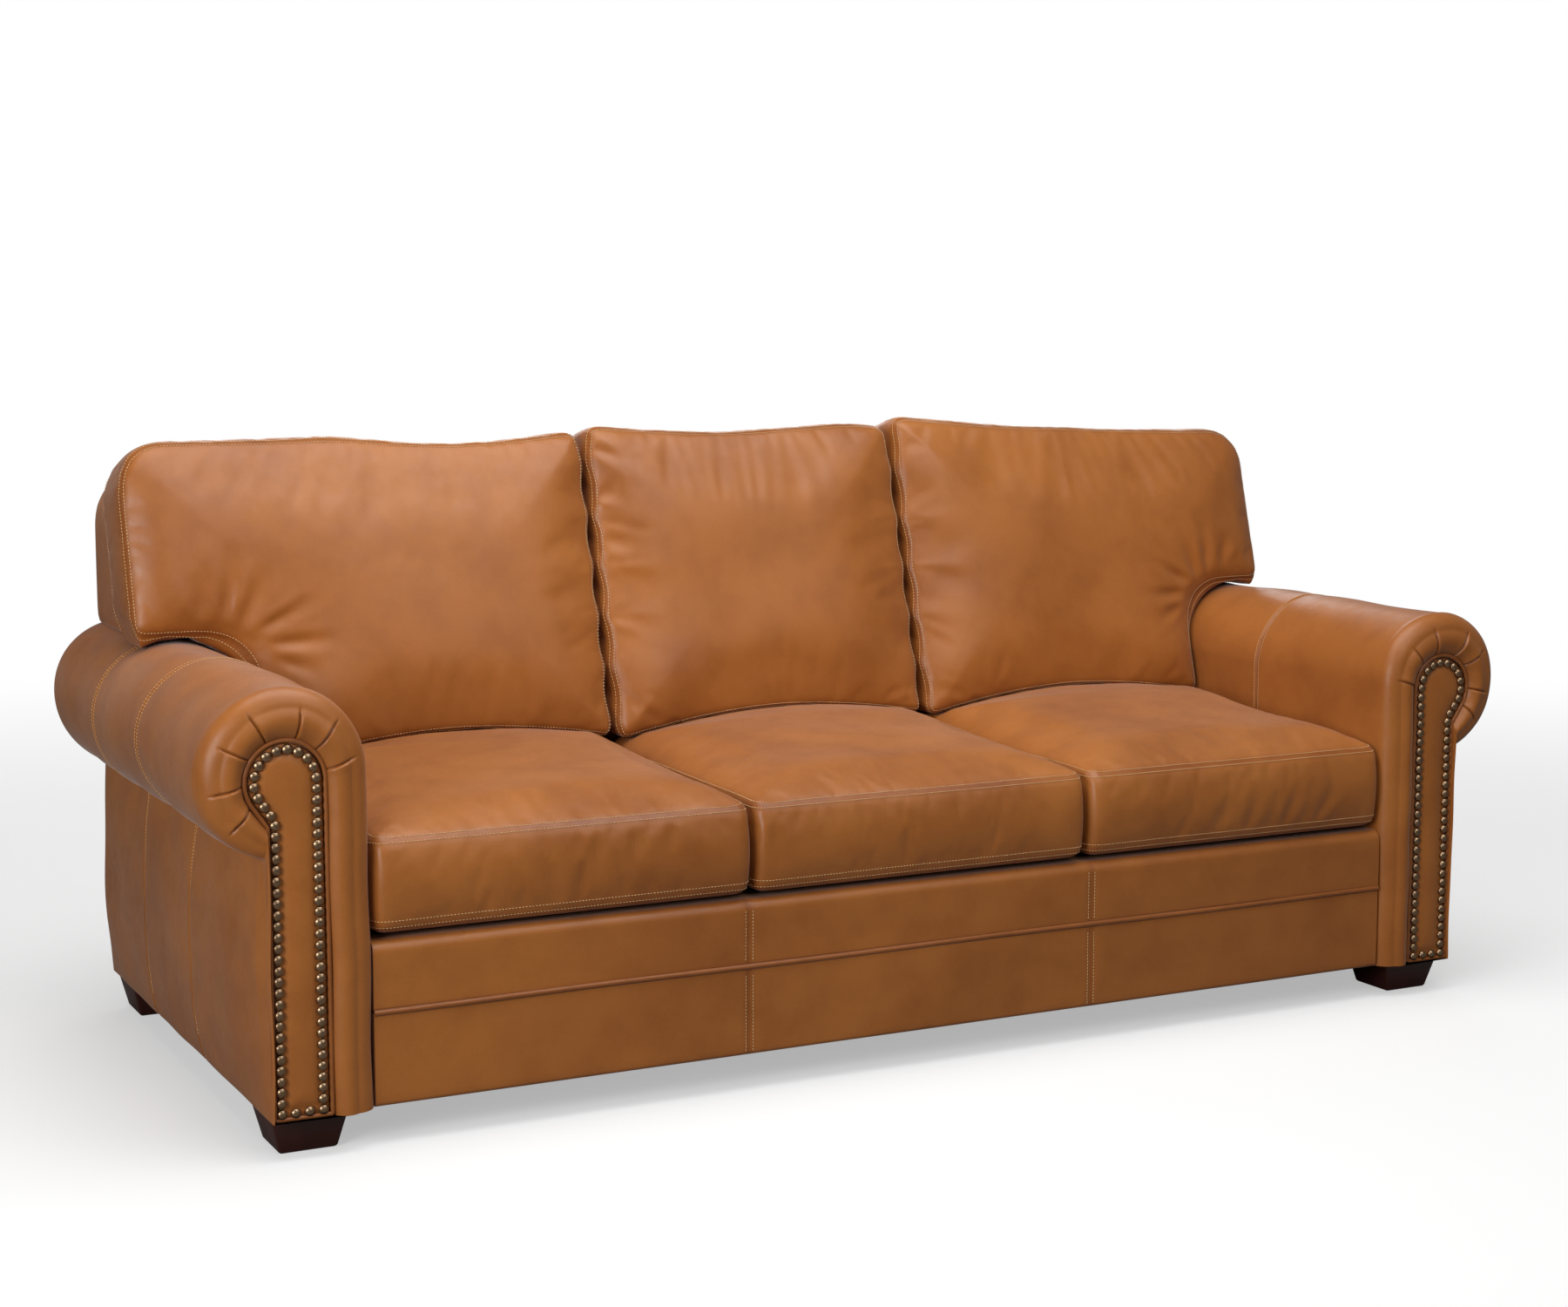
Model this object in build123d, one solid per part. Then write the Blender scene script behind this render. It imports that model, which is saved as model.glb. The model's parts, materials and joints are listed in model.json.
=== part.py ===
"""Three-seat rolled-arm leather sofa with tapered wooden feet.

Frame: X to the sitter's left-hand arm seen from the front as right, +Y towards the back, +Z up, millimetres.
The origin is on the floor, under the centre of the whole sofa. The front faces -Y.
"""
import os
from math import cos, radians, sin, tan

from build123d import *

# ---- overall sizes ----
OVERALL_WIDTH = 2286.0  # over the two arm rolls
OVERALL_DEPTH = 990.0  # front of the arms to the outside back
CUSHION_TOP = 988.0  # top of the back cushions, the highest point
FOOT_HEIGHT = 56.0
FRONT = -OVERALL_DEPTH / 2
REAR = OVERALL_DEPTH / 2

# ---- clearances ----
GAP = 0.4  # between soft pieces that only lie against each other
FIT = 0.3  # between pieces that are fixed together without glue

# ---- arms ----
ARM_HEIGHT = 666.0
ROLL_RADIUS = 121.0
ROLL_X = OVERALL_WIDTH / 2 - ROLL_RADIUS
ROLL_Z = ARM_HEIGHT - ROLL_RADIUS
ARM_INNER = ROLL_X - ROLL_RADIUS  # inner face, tangent to the roll
ARM_WIDTH = 151.0  # inner face to outer face, below the roll
ARM_OUTER = ARM_INNER + ARM_WIDTH
ARM_PAD = 24.0  # leather and padding over the boards
ARM_FRONT_PAD = 29.0
ARM_REAR_SKIN = 3.0
UNDER_ROLL_FILLET = 12.0
ARM_FRONT_FILLET = 20.0
ARM_REAR_FILLET = 5.0

# ---- nailed front panel of each arm ----
PANEL_THICK = 10.0
PANEL_FACE = FRONT + 7.0  # its front face, a little behind the padded rim
PANEL_ARCH_RADIUS = 58.0
PANEL_ARCH_IN = 30.0  # centre of the arch, in from the outer face of the arm
PANEL_ARCH_X = ARM_OUTER - PANEL_ARCH_IN
PANEL_ARCH_DROP = 72.0  # top of the arch below the top of the arm
PANEL_ARCH_Z = ARM_HEIGHT - PANEL_ARCH_DROP - PANEL_ARCH_RADIUS
PANEL_INNER = PANEL_ARCH_X - PANEL_ARCH_RADIUS
NECK_ANGLE = 35.0  # where the arch turns into the slanting neck, below horizontal
NECK_FILLET = 20.0
WELT_RADIUS = 3.0
WELT_POCKET = 2 * WELT_RADIUS + 2 * FIT
NAIL_INSET = 14.0
NAIL_PITCH = 16.0
NAIL_HEAD_RADIUS = 7.0
NAIL_HEAD_HEIGHT = 4.2
NAIL_SHANK_RADIUS = 0.9
NAIL_SHANK_LENGTH = 9.0
PILOT_CLEARANCE = 0.1
NAIL_BOTTOM = 11.0  # lowest nails above the lower edge
BOTTOM_NAILS_BETWEEN = 2  # nails of the lowest row, between the two corner nails

# ---- wooden frame ----
BOARD = 22.0
ARM_BOARD = 20.0
DUST_THICK = 1.2
RAIL_TOP = 280.0
LOW_RAIL_TOP = 160.0
POST_WIDTH = 24.0
POST_DEPTH = 28.0
FRAME_BASE = FOOT_HEIGHT + DUST_THICK
BLOCK_SIZE = 74.0
BLOCK_HEIGHT = 40.0
ARM_TOP_BOARD_DROP = 92.0  # upper face below the top of the arm
ARM_TOP_BOARD_WIDTH = 70.0

# ---- feet ----
FOOT_TOP = 112.0
FOOT_SOLE = 85.0
FOOT_IN_X = 60.5  # centre of a foot, in from the outer face of the arm
FOOT_IN_Y = 81.0  # and in from the front or the back
FOOT_X = ARM_OUTER - FOOT_IN_X
FOOT_Y = OVERALL_DEPTH / 2 - FOOT_IN_Y
POST_BESIDE_NUT = 4.0
FOOT_EDGE = 4.0
BOLT_RADIUS = 4.0
BOLT_LENGTH = 72.0
BOLT_IN_FOOT = 34.0
TEE_FLANGE_RADIUS = 9.5
TEE_FLANGE_THICK = 1.6
TEE_BARREL_RADIUS = 5.2
TEE_BARREL_LENGTH = 11.0

# ---- seat ----
BAND_FACE = FRONT + 13.0  # face of the two front bands
BAND_TOP = 295.0
WELT_Z = 194.0
BAND_FILLET = 12.0
DECK_TOP = 297.0
DECK_THICK = 11.7
SEAT_FRONT = FRONT + 5.0
SEAT_LENGTH = 600.0
SEAT_REAR = SEAT_FRONT + SEAT_LENGTH
SEAT_TOP = 478.0
SEAT_FILLET = 22.0
COVER_WALL = 8.0
SEATS = 3
CUSHION_GAP = 0.6
SEAT_PITCH = (2 * ARM_INNER - CUSHION_GAP) / SEATS
CUSHION_WIDTH = SEAT_PITCH - CUSHION_GAP
STRETCHER_BESIDE_SEAM = 4.0
STRETCHER_X = SEAT_PITCH / 2 + STRETCHER_BESIDE_SEAM  # centre of each seat stretcher

# ---- back ----
RAKE = 15.1  # lean of the back cushions, degrees
SLOPE = tan(radians(RAKE))
BACK_SEAM_IN = 527.0  # front of the back cushions, behind the front of the arms
BACK_SEAM_Y = FRONT + BACK_SEAM_IN  # at BACK_SEAM_Z
BACK_SEAM_Z = 485.0
BACK_CUSHION_DEPTH = 140.0
BACK_TOP = 925.0  # top of the upholstered back frame
BACK_OVER_ROLL = 48.0  # end of the back frame, outside the middle of the roll
BACK_HALF_WIDTH = ROLL_X + BACK_OVER_ROLL
BACK_CORNER = 90.0
BACK_PAD = 20.0
BACK_SKIN = 5.7
EAR_OVER_ROLL = 55.0
EAR_OUTER = ROLL_X + EAR_OVER_ROLL
EAR_CORNER = 70.0
EAR_HOLLOW = 40.0  # radius of the inner corner over the arm
CUSHION_CORNER = 20.0
CUSHION_FILLET = 14.0
GUSSET_IN_ARM = 31.0  # centre of an end gusset, in from the arm
GUSSET_X = (STRETCHER_X, ARM_INNER - GUSSET_IN_ARM)
WEB_THICK = 2.0
WEB_WIDTH = 55.0
WEB_HEIGHTS = (420.0, 560.0, 700.0)

# ---- springs ----
SPRING_WIRE = 1.9
SPRING_HALF_WIDTH = 24.0
SPRING_BEND = 11.0
SPRINGS_PER_SEAT = 4
CLIP_LENGTH = 16.0
CLIP_WALL = 1.0

# ---- zips ----
ZIP_LENGTH = 470.0
ZIP_SLOT_HEIGHT = 40.0
ZIP_SLOT_DEPTH = 6.0
ZIP_TAPE_HEIGHT = 16.0
ZIP_TAPE_THICK = 2.0
SLIDER_LENGTH = 14.0
SLIDER_THICK = 3.4
SLIDER_HEIGHT = 10.0
PULL_LENGTH = 14.0
PULL_THICK = 1.4
ZIP_END = 5.0
ZIP_RUNNING = 0.2


def block(x, y, z):
    """A box from its lowest to its highest x, y and z."""
    middle = Pos((x[0] + x[1]) / 2, (y[0] + y[1]) / 2, (z[0] + z[1]) / 2)
    return middle * Box(x[1] - x[0], y[1] - y[0], z[1] - z[0])


def along_y(face, y0, y1):
    """A face drawn in x and z, drawn out from y0 to y1."""
    placed = Plane(origin=(0, y1, 0), x_dir=(1, 0, 0), z_dir=(0, -1, 0)) * face
    return extrude(placed, amount=y1 - y0)


def along_x(face, x0, x1):
    """A face drawn in y and z, drawn out from x0 to x1."""
    placed = Plane(origin=(x0, 0, 0), x_dir=(0, 1, 0), z_dir=(1, 0, 0)) * face
    return extrude(placed, amount=x1 - x0)


def left(shape):
    """The same piece on the other side of the sofa."""
    return mirror(shape, about=Plane.YZ)


def both(shape):
    return Compound(children=[*left(shape).solids(), *shape.solids()])


def save(name, shape):
    export_step(shape, f"parts/{name}.step")


# ---------------------------------------------------------------- arms
def arm_face(inset, base=FOOT_HEIGHT):
    """Front outline of an arm: a post with the roll on its shoulder."""
    post_middle = (ARM_INNER + ARM_OUTER) / 2
    post = Pos(post_middle, (base + ROLL_Z) / 2) * Rectangle(ARM_WIDTH - 2 * inset, ROLL_Z - base)
    face = post + Pos(ROLL_X, ROLL_Z) * Circle(ROLL_RADIUS - inset)
    hollow = face.vertices().filter_by(lambda v: v.X > post_middle and base + 1 < v.Y < ROLL_Z - 1)
    return fillet(hollow, UNDER_ROLL_FILLET)


def panel_path(inset, bottom):
    """Outline of the nailed panel, from its outer bottom corner over the arch to its inner one."""
    radius = PANEL_ARCH_RADIUS - inset
    angle = radians(NECK_ANGLE)
    shoulder = (PANEL_ARCH_X + radius * cos(angle), PANEL_ARCH_Z - radius * sin(angle))
    drop = (shoulder[0] - (ARM_OUTER - inset)) / sin(angle)
    neck = (ARM_OUTER - inset, shoulder[1] - drop * cos(angle))
    cut = NECK_FILLET * tan(angle / 2)
    bend_start = (neck[0], neck[1] - cut)
    bend_end = (neck[0] + cut * sin(angle), neck[1] + cut * cos(angle))
    outer = Line((ARM_OUTER - inset, bottom), bend_start)
    bend = TangentArc(bend_start, bend_end, tangent=(0, 1))
    slant = Line(bend_end, shoulder)
    arch = CenterArc((PANEL_ARCH_X, PANEL_ARCH_Z), radius, -NECK_ANGLE, 180 + NECK_ANGLE)
    inner = Line((PANEL_INNER + inset, PANEL_ARCH_Z), (PANEL_INNER + inset, bottom))
    return Wire([edge for part in (outer, bend, slant, arch, inner) for edge in part.edges()])


def panel_face(inset, bottom):
    path = panel_path(inset, bottom)
    return make_face([*path.edges(), *Line(path @ 1, path @ 0).edges()])


def in_front(path, y):
    """A path drawn in x and z, stood up in the plane at y."""
    return Plane(origin=(0, y, 0), x_dir=(1, 0, 0), z_dir=(0, -1, 0)) * path


CAVITY_FRONT = FRONT + ARM_FRONT_PAD
ARM_REAR = REAR - BACK_SKIN - FIT
CAVITY_REAR = ARM_REAR - ARM_REAR_SKIN
RAIL_FRONT = CAVITY_FRONT + ARM_BOARD
RAIL_REAR = CAVITY_REAR - ARM_BOARD
POST_X = FOOT_X - TEE_FLANGE_RADIUS - POST_BESIDE_NUT - POST_WIDTH
POST_Y = RAIL_REAR - BOARD - POST_DEPTH


def arm_cover():
    body = along_y(arm_face(0), FRONT, ARM_REAR)
    front_edges = body.edges().filter_by(lambda e: abs(e.center().Y - FRONT) < 0.01)
    low_edge = front_edges.filter_by(lambda e: e.center().Z < FOOT_HEIGHT + 1)
    body = fillet([e for e in front_edges if e not in low_edge], ARM_FRONT_FILLET)
    cavity = along_y(arm_face(ARM_PAD, FOOT_HEIGHT - 2), CAVITY_FRONT, CAVITY_REAR)
    wall = (ARM_INNER - 1, ARM_INNER + ARM_PAD + 1)
    below_deck = block(wall, (CAVITY_FRONT, CAVITY_REAR), (FOOT_HEIGHT - 2, DECK_TOP - DECK_THICK))
    post_x = (POST_X - FIT, POST_X + POST_WIDTH + FIT)
    post_y = (POST_Y - FIT, POST_Y + POST_DEPTH + FIT)
    post_hole = block(post_x, post_y, (ROLL_Z, ARM_HEIGHT + 1))
    pocket = along_y(panel_face(-FIT, FOOT_HEIGHT - 2), FRONT - 1, PANEL_FACE + PANEL_THICK)
    return body - cavity - below_deck - post_hole - pocket


def arm_board(y0):
    board = along_y(arm_face(ARM_PAD + FIT, FRAME_BASE), y0, y0 + ARM_BOARD)
    return board


def arm_top_board():
    top = ARM_HEIGHT - ARM_TOP_BOARD_DROP
    half = ARM_TOP_BOARD_WIDTH / 2
    middle = ARM_INNER + ARM_WIDTH / 2
    return block((middle - half, middle + half), (RAIL_FRONT, POST_Y), (top - ARM_BOARD, top))


def arm_roll_foam():
    """Foam roll that lies on the top board and fills the arm's rounded top."""
    roll = along_y(Pos(ROLL_X, ROLL_Z) * Circle(ROLL_RADIUS - ARM_PAD - FIT), RAIL_FRONT, POST_Y)
    top = ARM_HEIGHT - ARM_TOP_BOARD_DROP
    wide = (ROLL_X - ROLL_RADIUS, ROLL_X + ROLL_RADIUS)
    return roll - block(wide, (FRONT, REAR), (ROLL_Z - ROLL_RADIUS, top))


def arm_panel():
    """Padded board with a pilot hole for each nail."""
    body = along_y(panel_face(WELT_POCKET, FOOT_HEIGHT), PANEL_FACE, PANEL_FACE + PANEL_THICK)
    hole = Rot(X=90) * Cylinder(NAIL_SHANK_RADIUS + PILOT_CLEARANCE, 2 * NAIL_SHANK_LENGTH + 2)
    return body - [Pos(p.X, PANEL_FACE, p.Y) * hole for p in nail_places()]


def arm_welt():
    path = in_front(panel_path(WELT_RADIUS + FIT, FOOT_HEIGHT + WELT_RADIUS), PANEL_FACE + WELT_RADIUS)
    start = Plane(origin=path @ 0, z_dir=path % 0)
    return sweep(start * Circle(WELT_RADIUS), path=path)


def nail():
    """Domed head with its shank, drawn at the origin with the head towards -Y."""
    r, h = NAIL_HEAD_RADIUS, NAIL_HEAD_HEIGHT
    dome_radius = (r * r + h * h) / (2 * h)
    dome = Pos(0, 0, h - dome_radius) * Sphere(dome_radius)
    head = dome & Pos(0, 0, h / 2) * Box(2 * r + 1, 2 * r + 1, h)
    shank = Pos(0, 0, -NAIL_SHANK_LENGTH / 2) * Cylinder(NAIL_SHANK_RADIUS, NAIL_SHANK_LENGTH)
    return Rot(X=90) * (head + shank)


def nail_places():
    """Centres of the nails of one panel, in x and z."""
    lowest = FOOT_HEIGHT + NAIL_BOTTOM
    path = panel_path(NAIL_INSET, lowest)
    count = round(path.length / NAIL_PITCH)
    places = [path @ (i / count) for i in range(count + 1)]
    first, last = places[0], places[-1]
    steps = BOTTOM_NAILS_BETWEEN + 1
    row = [first + (last - first) * (i / steps) for i in range(1, steps)]
    return places + row


def arm_nails():
    one = nail()
    placed = [Pos(p.X, PANEL_FACE, p.Y) * one for p in nail_places()]
    nails = Compound(children=[s for n in placed for s in n.solids()])
    return both(nails)


# ---------------------------------------------------------------- wooden frame
INSIDE_ARM = ARM_INNER + ARM_PAD
BOARD_END = ARM_OUTER - ARM_PAD - FIT


def front_rail():
    y = (RAIL_FRONT, RAIL_FRONT + BOARD)
    return block((-BOARD_END, BOARD_END), y, (FRAME_BASE, RAIL_TOP))


def back_rail():
    """Rear rail, with a tack strip between the arms that carries the outside back."""
    z = (FRAME_BASE, LOW_RAIL_TOP)
    rail = block((-BOARD_END, BOARD_END), (RAIL_REAR - BOARD, RAIL_REAR), z)
    strip = block((GAP - ARM_INNER, ARM_INNER - GAP), (RAIL_REAR, ARM_REAR), z)
    return rail + strip


def side_rail():
    y = (RAIL_FRONT + BOARD, RAIL_REAR - BOARD)
    return block((INSIDE_ARM, INSIDE_ARM + BOARD), y, (FRAME_BASE, LOW_RAIL_TOP))


def seat_stretcher():
    y = (RAIL_FRONT + BOARD, RAIL_REAR - BOARD)
    return block((STRETCHER_X - BOARD / 2, STRETCHER_X + BOARD / 2), y, (FRAME_BASE, LOW_RAIL_TOP))




def foot_block(front):
    """Glue block in a corner of the frame, drilled for the foot's bolt."""
    x = (INSIDE_ARM + BOARD, BOARD_END)
    y = (RAIL_FRONT + BOARD, RAIL_FRONT + BOARD + BLOCK_SIZE)
    if not front:
        y = (RAIL_REAR - BOARD - BLOCK_SIZE, RAIL_REAR - BOARD)
    bolt_y = -FOOT_Y if front else FOOT_Y
    drilled = Pos(FOOT_X, bolt_y, FRAME_BASE) * Cylinder(TEE_BARREL_RADIUS + FIT, 4 * BLOCK_HEIGHT)
    body = block(x, y, (FRAME_BASE, FRAME_BASE + BLOCK_HEIGHT)) - drilled
    if not front:
        post = block((POST_X, POST_X + POST_WIDTH), (POST_Y, POST_Y + POST_DEPTH), (FRAME_BASE, RAIL_TOP))
        body = body - post
    return body


def back_post():
    x = (POST_X, POST_X + POST_WIDTH)
    return block(x, (POST_Y, POST_Y + POST_DEPTH), (FRAME_BASE, TOP_RAIL_Z))


# ---------------------------------------------------------------- back
TOP_RAIL_HEIGHT = 70.0
TOP_RAIL_PAST_POST = 2.0
TOP_RAIL_Z = BACK_TOP - BACK_PAD - TOP_RAIL_HEIGHT


def back_plane(z, behind=0.0):
    """y of the raked inner back at height z, measured from the back cushions' rear face."""
    return BACK_SEAM_Y + BACK_CUSHION_DEPTH + 2 * GAP + (z - BACK_SEAM_Z) * SLOPE + behind


SPRING_RAIL_Y = back_plane(RAIL_TOP) - BOARD - GAP


def spring_rail():
    """Carries the rear ends of the seat springs."""
    ends = INSIDE_ARM + BOARD
    return block((-ends, ends), (SPRING_RAIL_Y, SPRING_RAIL_Y + BOARD), (LOW_RAIL_TOP, RAIL_TOP))


def back_gusset(x):
    front = BACK_PAD + WEB_THICK + 2 * GAP
    low = SPRING_RAIL_Y + BOARD
    knee = RAIL_TOP
    rear = POST_Y + POST_DEPTH
    outline = [
        (low, LOW_RAIL_TOP),
        (low, knee),
        (back_plane(knee, front), knee),
        (back_plane(TOP_RAIL_Z, front), TOP_RAIL_Z),
        (rear, TOP_RAIL_Z),
        (rear, LOW_RAIL_TOP),
    ]
    face = make_face(Polyline(*outline, close=True))
    return along_x(face, x - BOARD / 2, x + BOARD / 2)


def back_top_rail():
    ends = POST_X + POST_WIDTH + TOP_RAIL_PAST_POST
    z = (TOP_RAIL_Z, BACK_TOP - BACK_PAD)
    rail = block((-ends, ends), (POST_Y, POST_Y + BOARD), z)
    within = wide_outline(BACK_HALF_WIDTH - BACK_PAD, BACK_TOP - BACK_PAD, BACK_CORNER - BACK_PAD, 0)
    return rail & along_y(within, 0, REAR)


def back_webbing():
    """Elastic straps stretched across the gussets."""
    ends = GUSSET_X[1] + BOARD / 2
    straps = []
    for z in WEB_HEIGHTS:
        low, high = z - WEB_WIDTH / 2, z + WEB_WIDTH / 2
        outline = [
            (back_plane(low, BACK_PAD + GAP), low),
            (back_plane(high, BACK_PAD + GAP), high),
            (back_plane(high, BACK_PAD + GAP + WEB_THICK), high),
            (back_plane(low, BACK_PAD + GAP + WEB_THICK), low),
        ]
        face = make_face(Polyline(*outline, close=True))
        straps += along_x(face, -ends, ends).solids()
    return Compound(children=straps)


def wide_outline(half, top, corner, bottom):
    """Back outline in x and z with rounded top corners."""
    face = Pos(0, (bottom + top) / 2) * Rectangle(2 * half, top - bottom)
    return fillet(face.vertices().group_by(Axis.Y)[-1], corner)


def over_the_arms(depth):
    """What has to be cut away so that a piece sits between and on the arms."""
    arm = along_y(arm_face(-GAP), *depth)
    beside = block((ARM_INNER - GAP, OVERALL_WIDTH), depth, (0, ROLL_Z))
    return both(arm) + both(beside)


def back_shell():
    """Padded leather over the inner back, the top and the ends of the back frame, open behind."""
    foot_z = RAIL_TOP + 1.0
    rear = ARM_REAR
    outer = make_face(
        Polyline(
            (back_plane(foot_z), foot_z),
            (back_plane(BACK_TOP), BACK_TOP),
            (rear, BACK_TOP),
            (rear, foot_z),
            close=True,
        )
    )
    ceiling = BACK_TOP - BACK_PAD
    inner = make_face(
        Polyline(
            (back_plane(foot_z - 1, BACK_PAD), foot_z - 1),
            (back_plane(ceiling, BACK_PAD), ceiling),
            (rear + 1, ceiling),
            (rear + 1, foot_z - 1),
            close=True,
        )
    )
    body = along_x(outer, -BACK_HALF_WIDTH, BACK_HALF_WIDTH)
    body = body & along_y(wide_outline(BACK_HALF_WIDTH, BACK_TOP, BACK_CORNER, 0), 0, REAR)
    inside = BACK_HALF_WIDTH - BACK_PAD
    hollow = along_x(inner, -inside, inside)
    corner = BACK_CORNER - BACK_PAD
    hollow = hollow & along_y(wide_outline(inside, ceiling, corner, 0), 0, 2 * REAR)
    return body - hollow - over_the_arms((0, 2 * REAR))


def outer_back_panel():
    top = wide_outline(BACK_HALF_WIDTH, BACK_TOP, BACK_CORNER, ARM_HEIGHT)
    low = Pos(0, (FOOT_HEIGHT + ARM_HEIGHT) / 2) * Rectangle(2 * ARM_OUTER, ARM_HEIGHT - FOOT_HEIGHT)
    return along_y(top + low, REAR - BACK_SKIN, REAR)


# ---------------------------------------------------------------- seat
def front_upper_band():
    z = (WELT_Z + WELT_RADIUS + FIT, BAND_TOP)
    body = block((GAP - ARM_INNER, ARM_INNER - GAP), (BAND_FACE, RAIL_FRONT), z)
    edge = body.edges().filter_by(Axis.X).sort_by(lambda e: e.center().Z - e.center().Y)[-1]
    return fillet(edge, BAND_FILLET)


def front_lower_band():
    z = (FOOT_HEIGHT, WELT_Z - WELT_RADIUS - FIT)
    return block((GAP - ARM_INNER, ARM_INNER - GAP), (BAND_FACE, RAIL_FRONT), z)


def front_welt():
    length = 2 * (ARM_INNER - GAP)
    return Pos(0, BAND_FACE + WELT_RADIUS - 1, WELT_Z) * Rot(Y=90) * Cylinder(WELT_RADIUS, length)


def seat_deck():
    low = DECK_TOP - DECK_THICK
    rear = back_plane(low) - GAP
    body = block((GAP - ARM_INNER, ARM_INNER - GAP), (RAIL_FRONT + FIT, rear), (low, DECK_TOP))
    return body


def dust_cover():
    sheet = block(
        (-ARM_OUTER + ARM_PAD + FIT, ARM_OUTER - ARM_PAD - FIT),
        (RAIL_FRONT, RAIL_REAR),
        (FOOT_HEIGHT, FOOT_HEIGHT + DUST_THICK),
    )
    rear = (RAIL_REAR, ARM_REAR)
    sheet = sheet + block((GAP - ARM_INNER, ARM_INNER - GAP), rear, (FOOT_HEIGHT, FRAME_BASE))
    for x, y in foot_places():
        sheet = sheet - Pos(x, y, FOOT_HEIGHT) * Cylinder(BOLT_RADIUS + FIT, 4 * DUST_THICK)
    return sheet


def spring():
    """One zigzag spring of round wire from the front rail to the spring rail, flat on their tops."""
    z = RAIL_TOP + SPRING_WIRE + 0.1
    start = RAIL_FRONT + BOARD / 2
    finish = SPRING_RAIL_Y + BOARD / 2
    rows = int((finish - start) / (2 * SPRING_BEND))
    pitch = (finish - start) / rows
    corners = []
    side = 1
    for i in range(rows + 1):
        y = start + i * pitch
        corners.append((side * SPRING_HALF_WIDTH, y, z))
        side = -side
        corners.append((side * SPRING_HALF_WIDTH, y, z))
    path = FilletPolyline(*corners, radius=pitch / 2 - 0.01)
    line = Plane(origin=path @ 0, z_dir=path % 0)
    return sweep(line * Circle(SPRING_WIRE), path=path)


def spring_places():
    pitch = SEAT_PITCH / SPRINGS_PER_SEAT
    total = SEATS * SPRINGS_PER_SEAT
    return [(i - (total - 1) / 2) * pitch for i in range(total)]


def seat_springs():
    one = spring()
    return Compound(children=[s for x in spring_places() for s in (Pos(x, 0, 0) * one).solids()])


def spring_clip():
    """Folded steel clip that holds a spring's end wire down on its rail."""
    wire = SPRING_WIRE + 0.1
    outer = CLIP_WALL + wire + FIT
    base_z = RAIL_TOP
    body = block((-CLIP_LENGTH / 2, CLIP_LENGTH / 2), (-outer, outer), (base_z, base_z + 2 * wire + CLIP_WALL))
    bore = Pos(0, 0, base_z + wire) * Rot(Y=90) * Cylinder(SPRING_WIRE + 0.15, 2 * CLIP_LENGTH)
    return body - bore


def spring_clips():
    one = spring_clip()
    ends = (RAIL_FRONT + BOARD / 2, SPRING_RAIL_Y + BOARD / 2)
    placed = [Pos(x, y, 0) * one for x in spring_places() for y in ends]
    return Compound(children=[s for c in placed for s in c.solids()])


# ---------------------------------------------------------------- feet
def foot_places():
    return [(sx * FOOT_X, sy * FOOT_Y) for sx in (-1, 1) for sy in (-1, 1)]


def foot():
    top = Plane.XY.offset(FOOT_HEIGHT) * Rectangle(FOOT_TOP, FOOT_TOP)
    sole = Rectangle(FOOT_SOLE, FOOT_SOLE)
    body = loft([sole.face(), top.face()])
    corners = body.edges().filter_by(lambda e: FOOT_EDGE < e.center().Z < FOOT_HEIGHT - FOOT_EDGE)
    body = fillet(corners, FOOT_EDGE)
    hole = Pos(0, 0, FOOT_HEIGHT - BOLT_IN_FOOT / 2) * Cylinder(BOLT_RADIUS, BOLT_IN_FOOT)
    return body - hole


def foot_bolt():
    middle = FOOT_HEIGHT - BOLT_IN_FOOT + BOLT_LENGTH / 2
    return Pos(0, 0, middle) * Cylinder(BOLT_RADIUS, BOLT_LENGTH)


def tee_nut():
    top = FRAME_BASE + BLOCK_HEIGHT
    flange = Pos(0, 0, top + TEE_FLANGE_THICK / 2) * Cylinder(TEE_FLANGE_RADIUS, TEE_FLANGE_THICK)
    barrel = Pos(0, 0, top - TEE_BARREL_LENGTH / 2) * Cylinder(TEE_BARREL_RADIUS, TEE_BARREL_LENGTH)
    bore = Pos(0, 0, top) * Cylinder(BOLT_RADIUS + 0.05, 4 * TEE_BARREL_LENGTH)
    return flange + barrel - bore


def at_feet(shape):
    return Compound(children=[s for x, y in foot_places() for s in (Pos(x, y, 0) * shape).solids()])


# ---------------------------------------------------------------- cushions
def seat_body(inset):
    half = CUSHION_WIDTH / 2 - inset
    y = (SEAT_FRONT + inset, SEAT_REAR - inset)
    return block((-half, half), y, (DECK_TOP + GAP + inset, SEAT_TOP - inset))


def seat_cover():
    body = seat_body(0)
    body = fillet(body.edges(), SEAT_FILLET)
    z = SEAT_ZIP_Z
    slot = block(
        (-ZIP_LENGTH / 2, ZIP_LENGTH / 2),
        (SEAT_REAR - ZIP_SLOT_DEPTH, SEAT_REAR + 1),
        (z - ZIP_SLOT_HEIGHT / 2, z + ZIP_SLOT_HEIGHT / 2),
    )
    return body - seat_body(COVER_WALL) - slot


def seat_core():
    return seat_body(COVER_WALL + FIT)


SEAT_ZIP_Z = (DECK_TOP + SEAT_TOP) / 2
ZIP_SEAT = Location((0, SEAT_REAR - ZIP_SLOT_DEPTH, SEAT_ZIP_Z))
BACK_ZIP_Z = 560.0
BACK_REAR_Y = BACK_SEAM_Y + BACK_CUSHION_DEPTH + (BACK_ZIP_Z - BACK_SEAM_Z) * SLOPE
BACK_ZIP = Location((0, BACK_REAR_Y, BACK_ZIP_Z), (-RAKE, 0, 0)) * Location((0, -ZIP_SLOT_DEPTH, 0))


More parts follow.
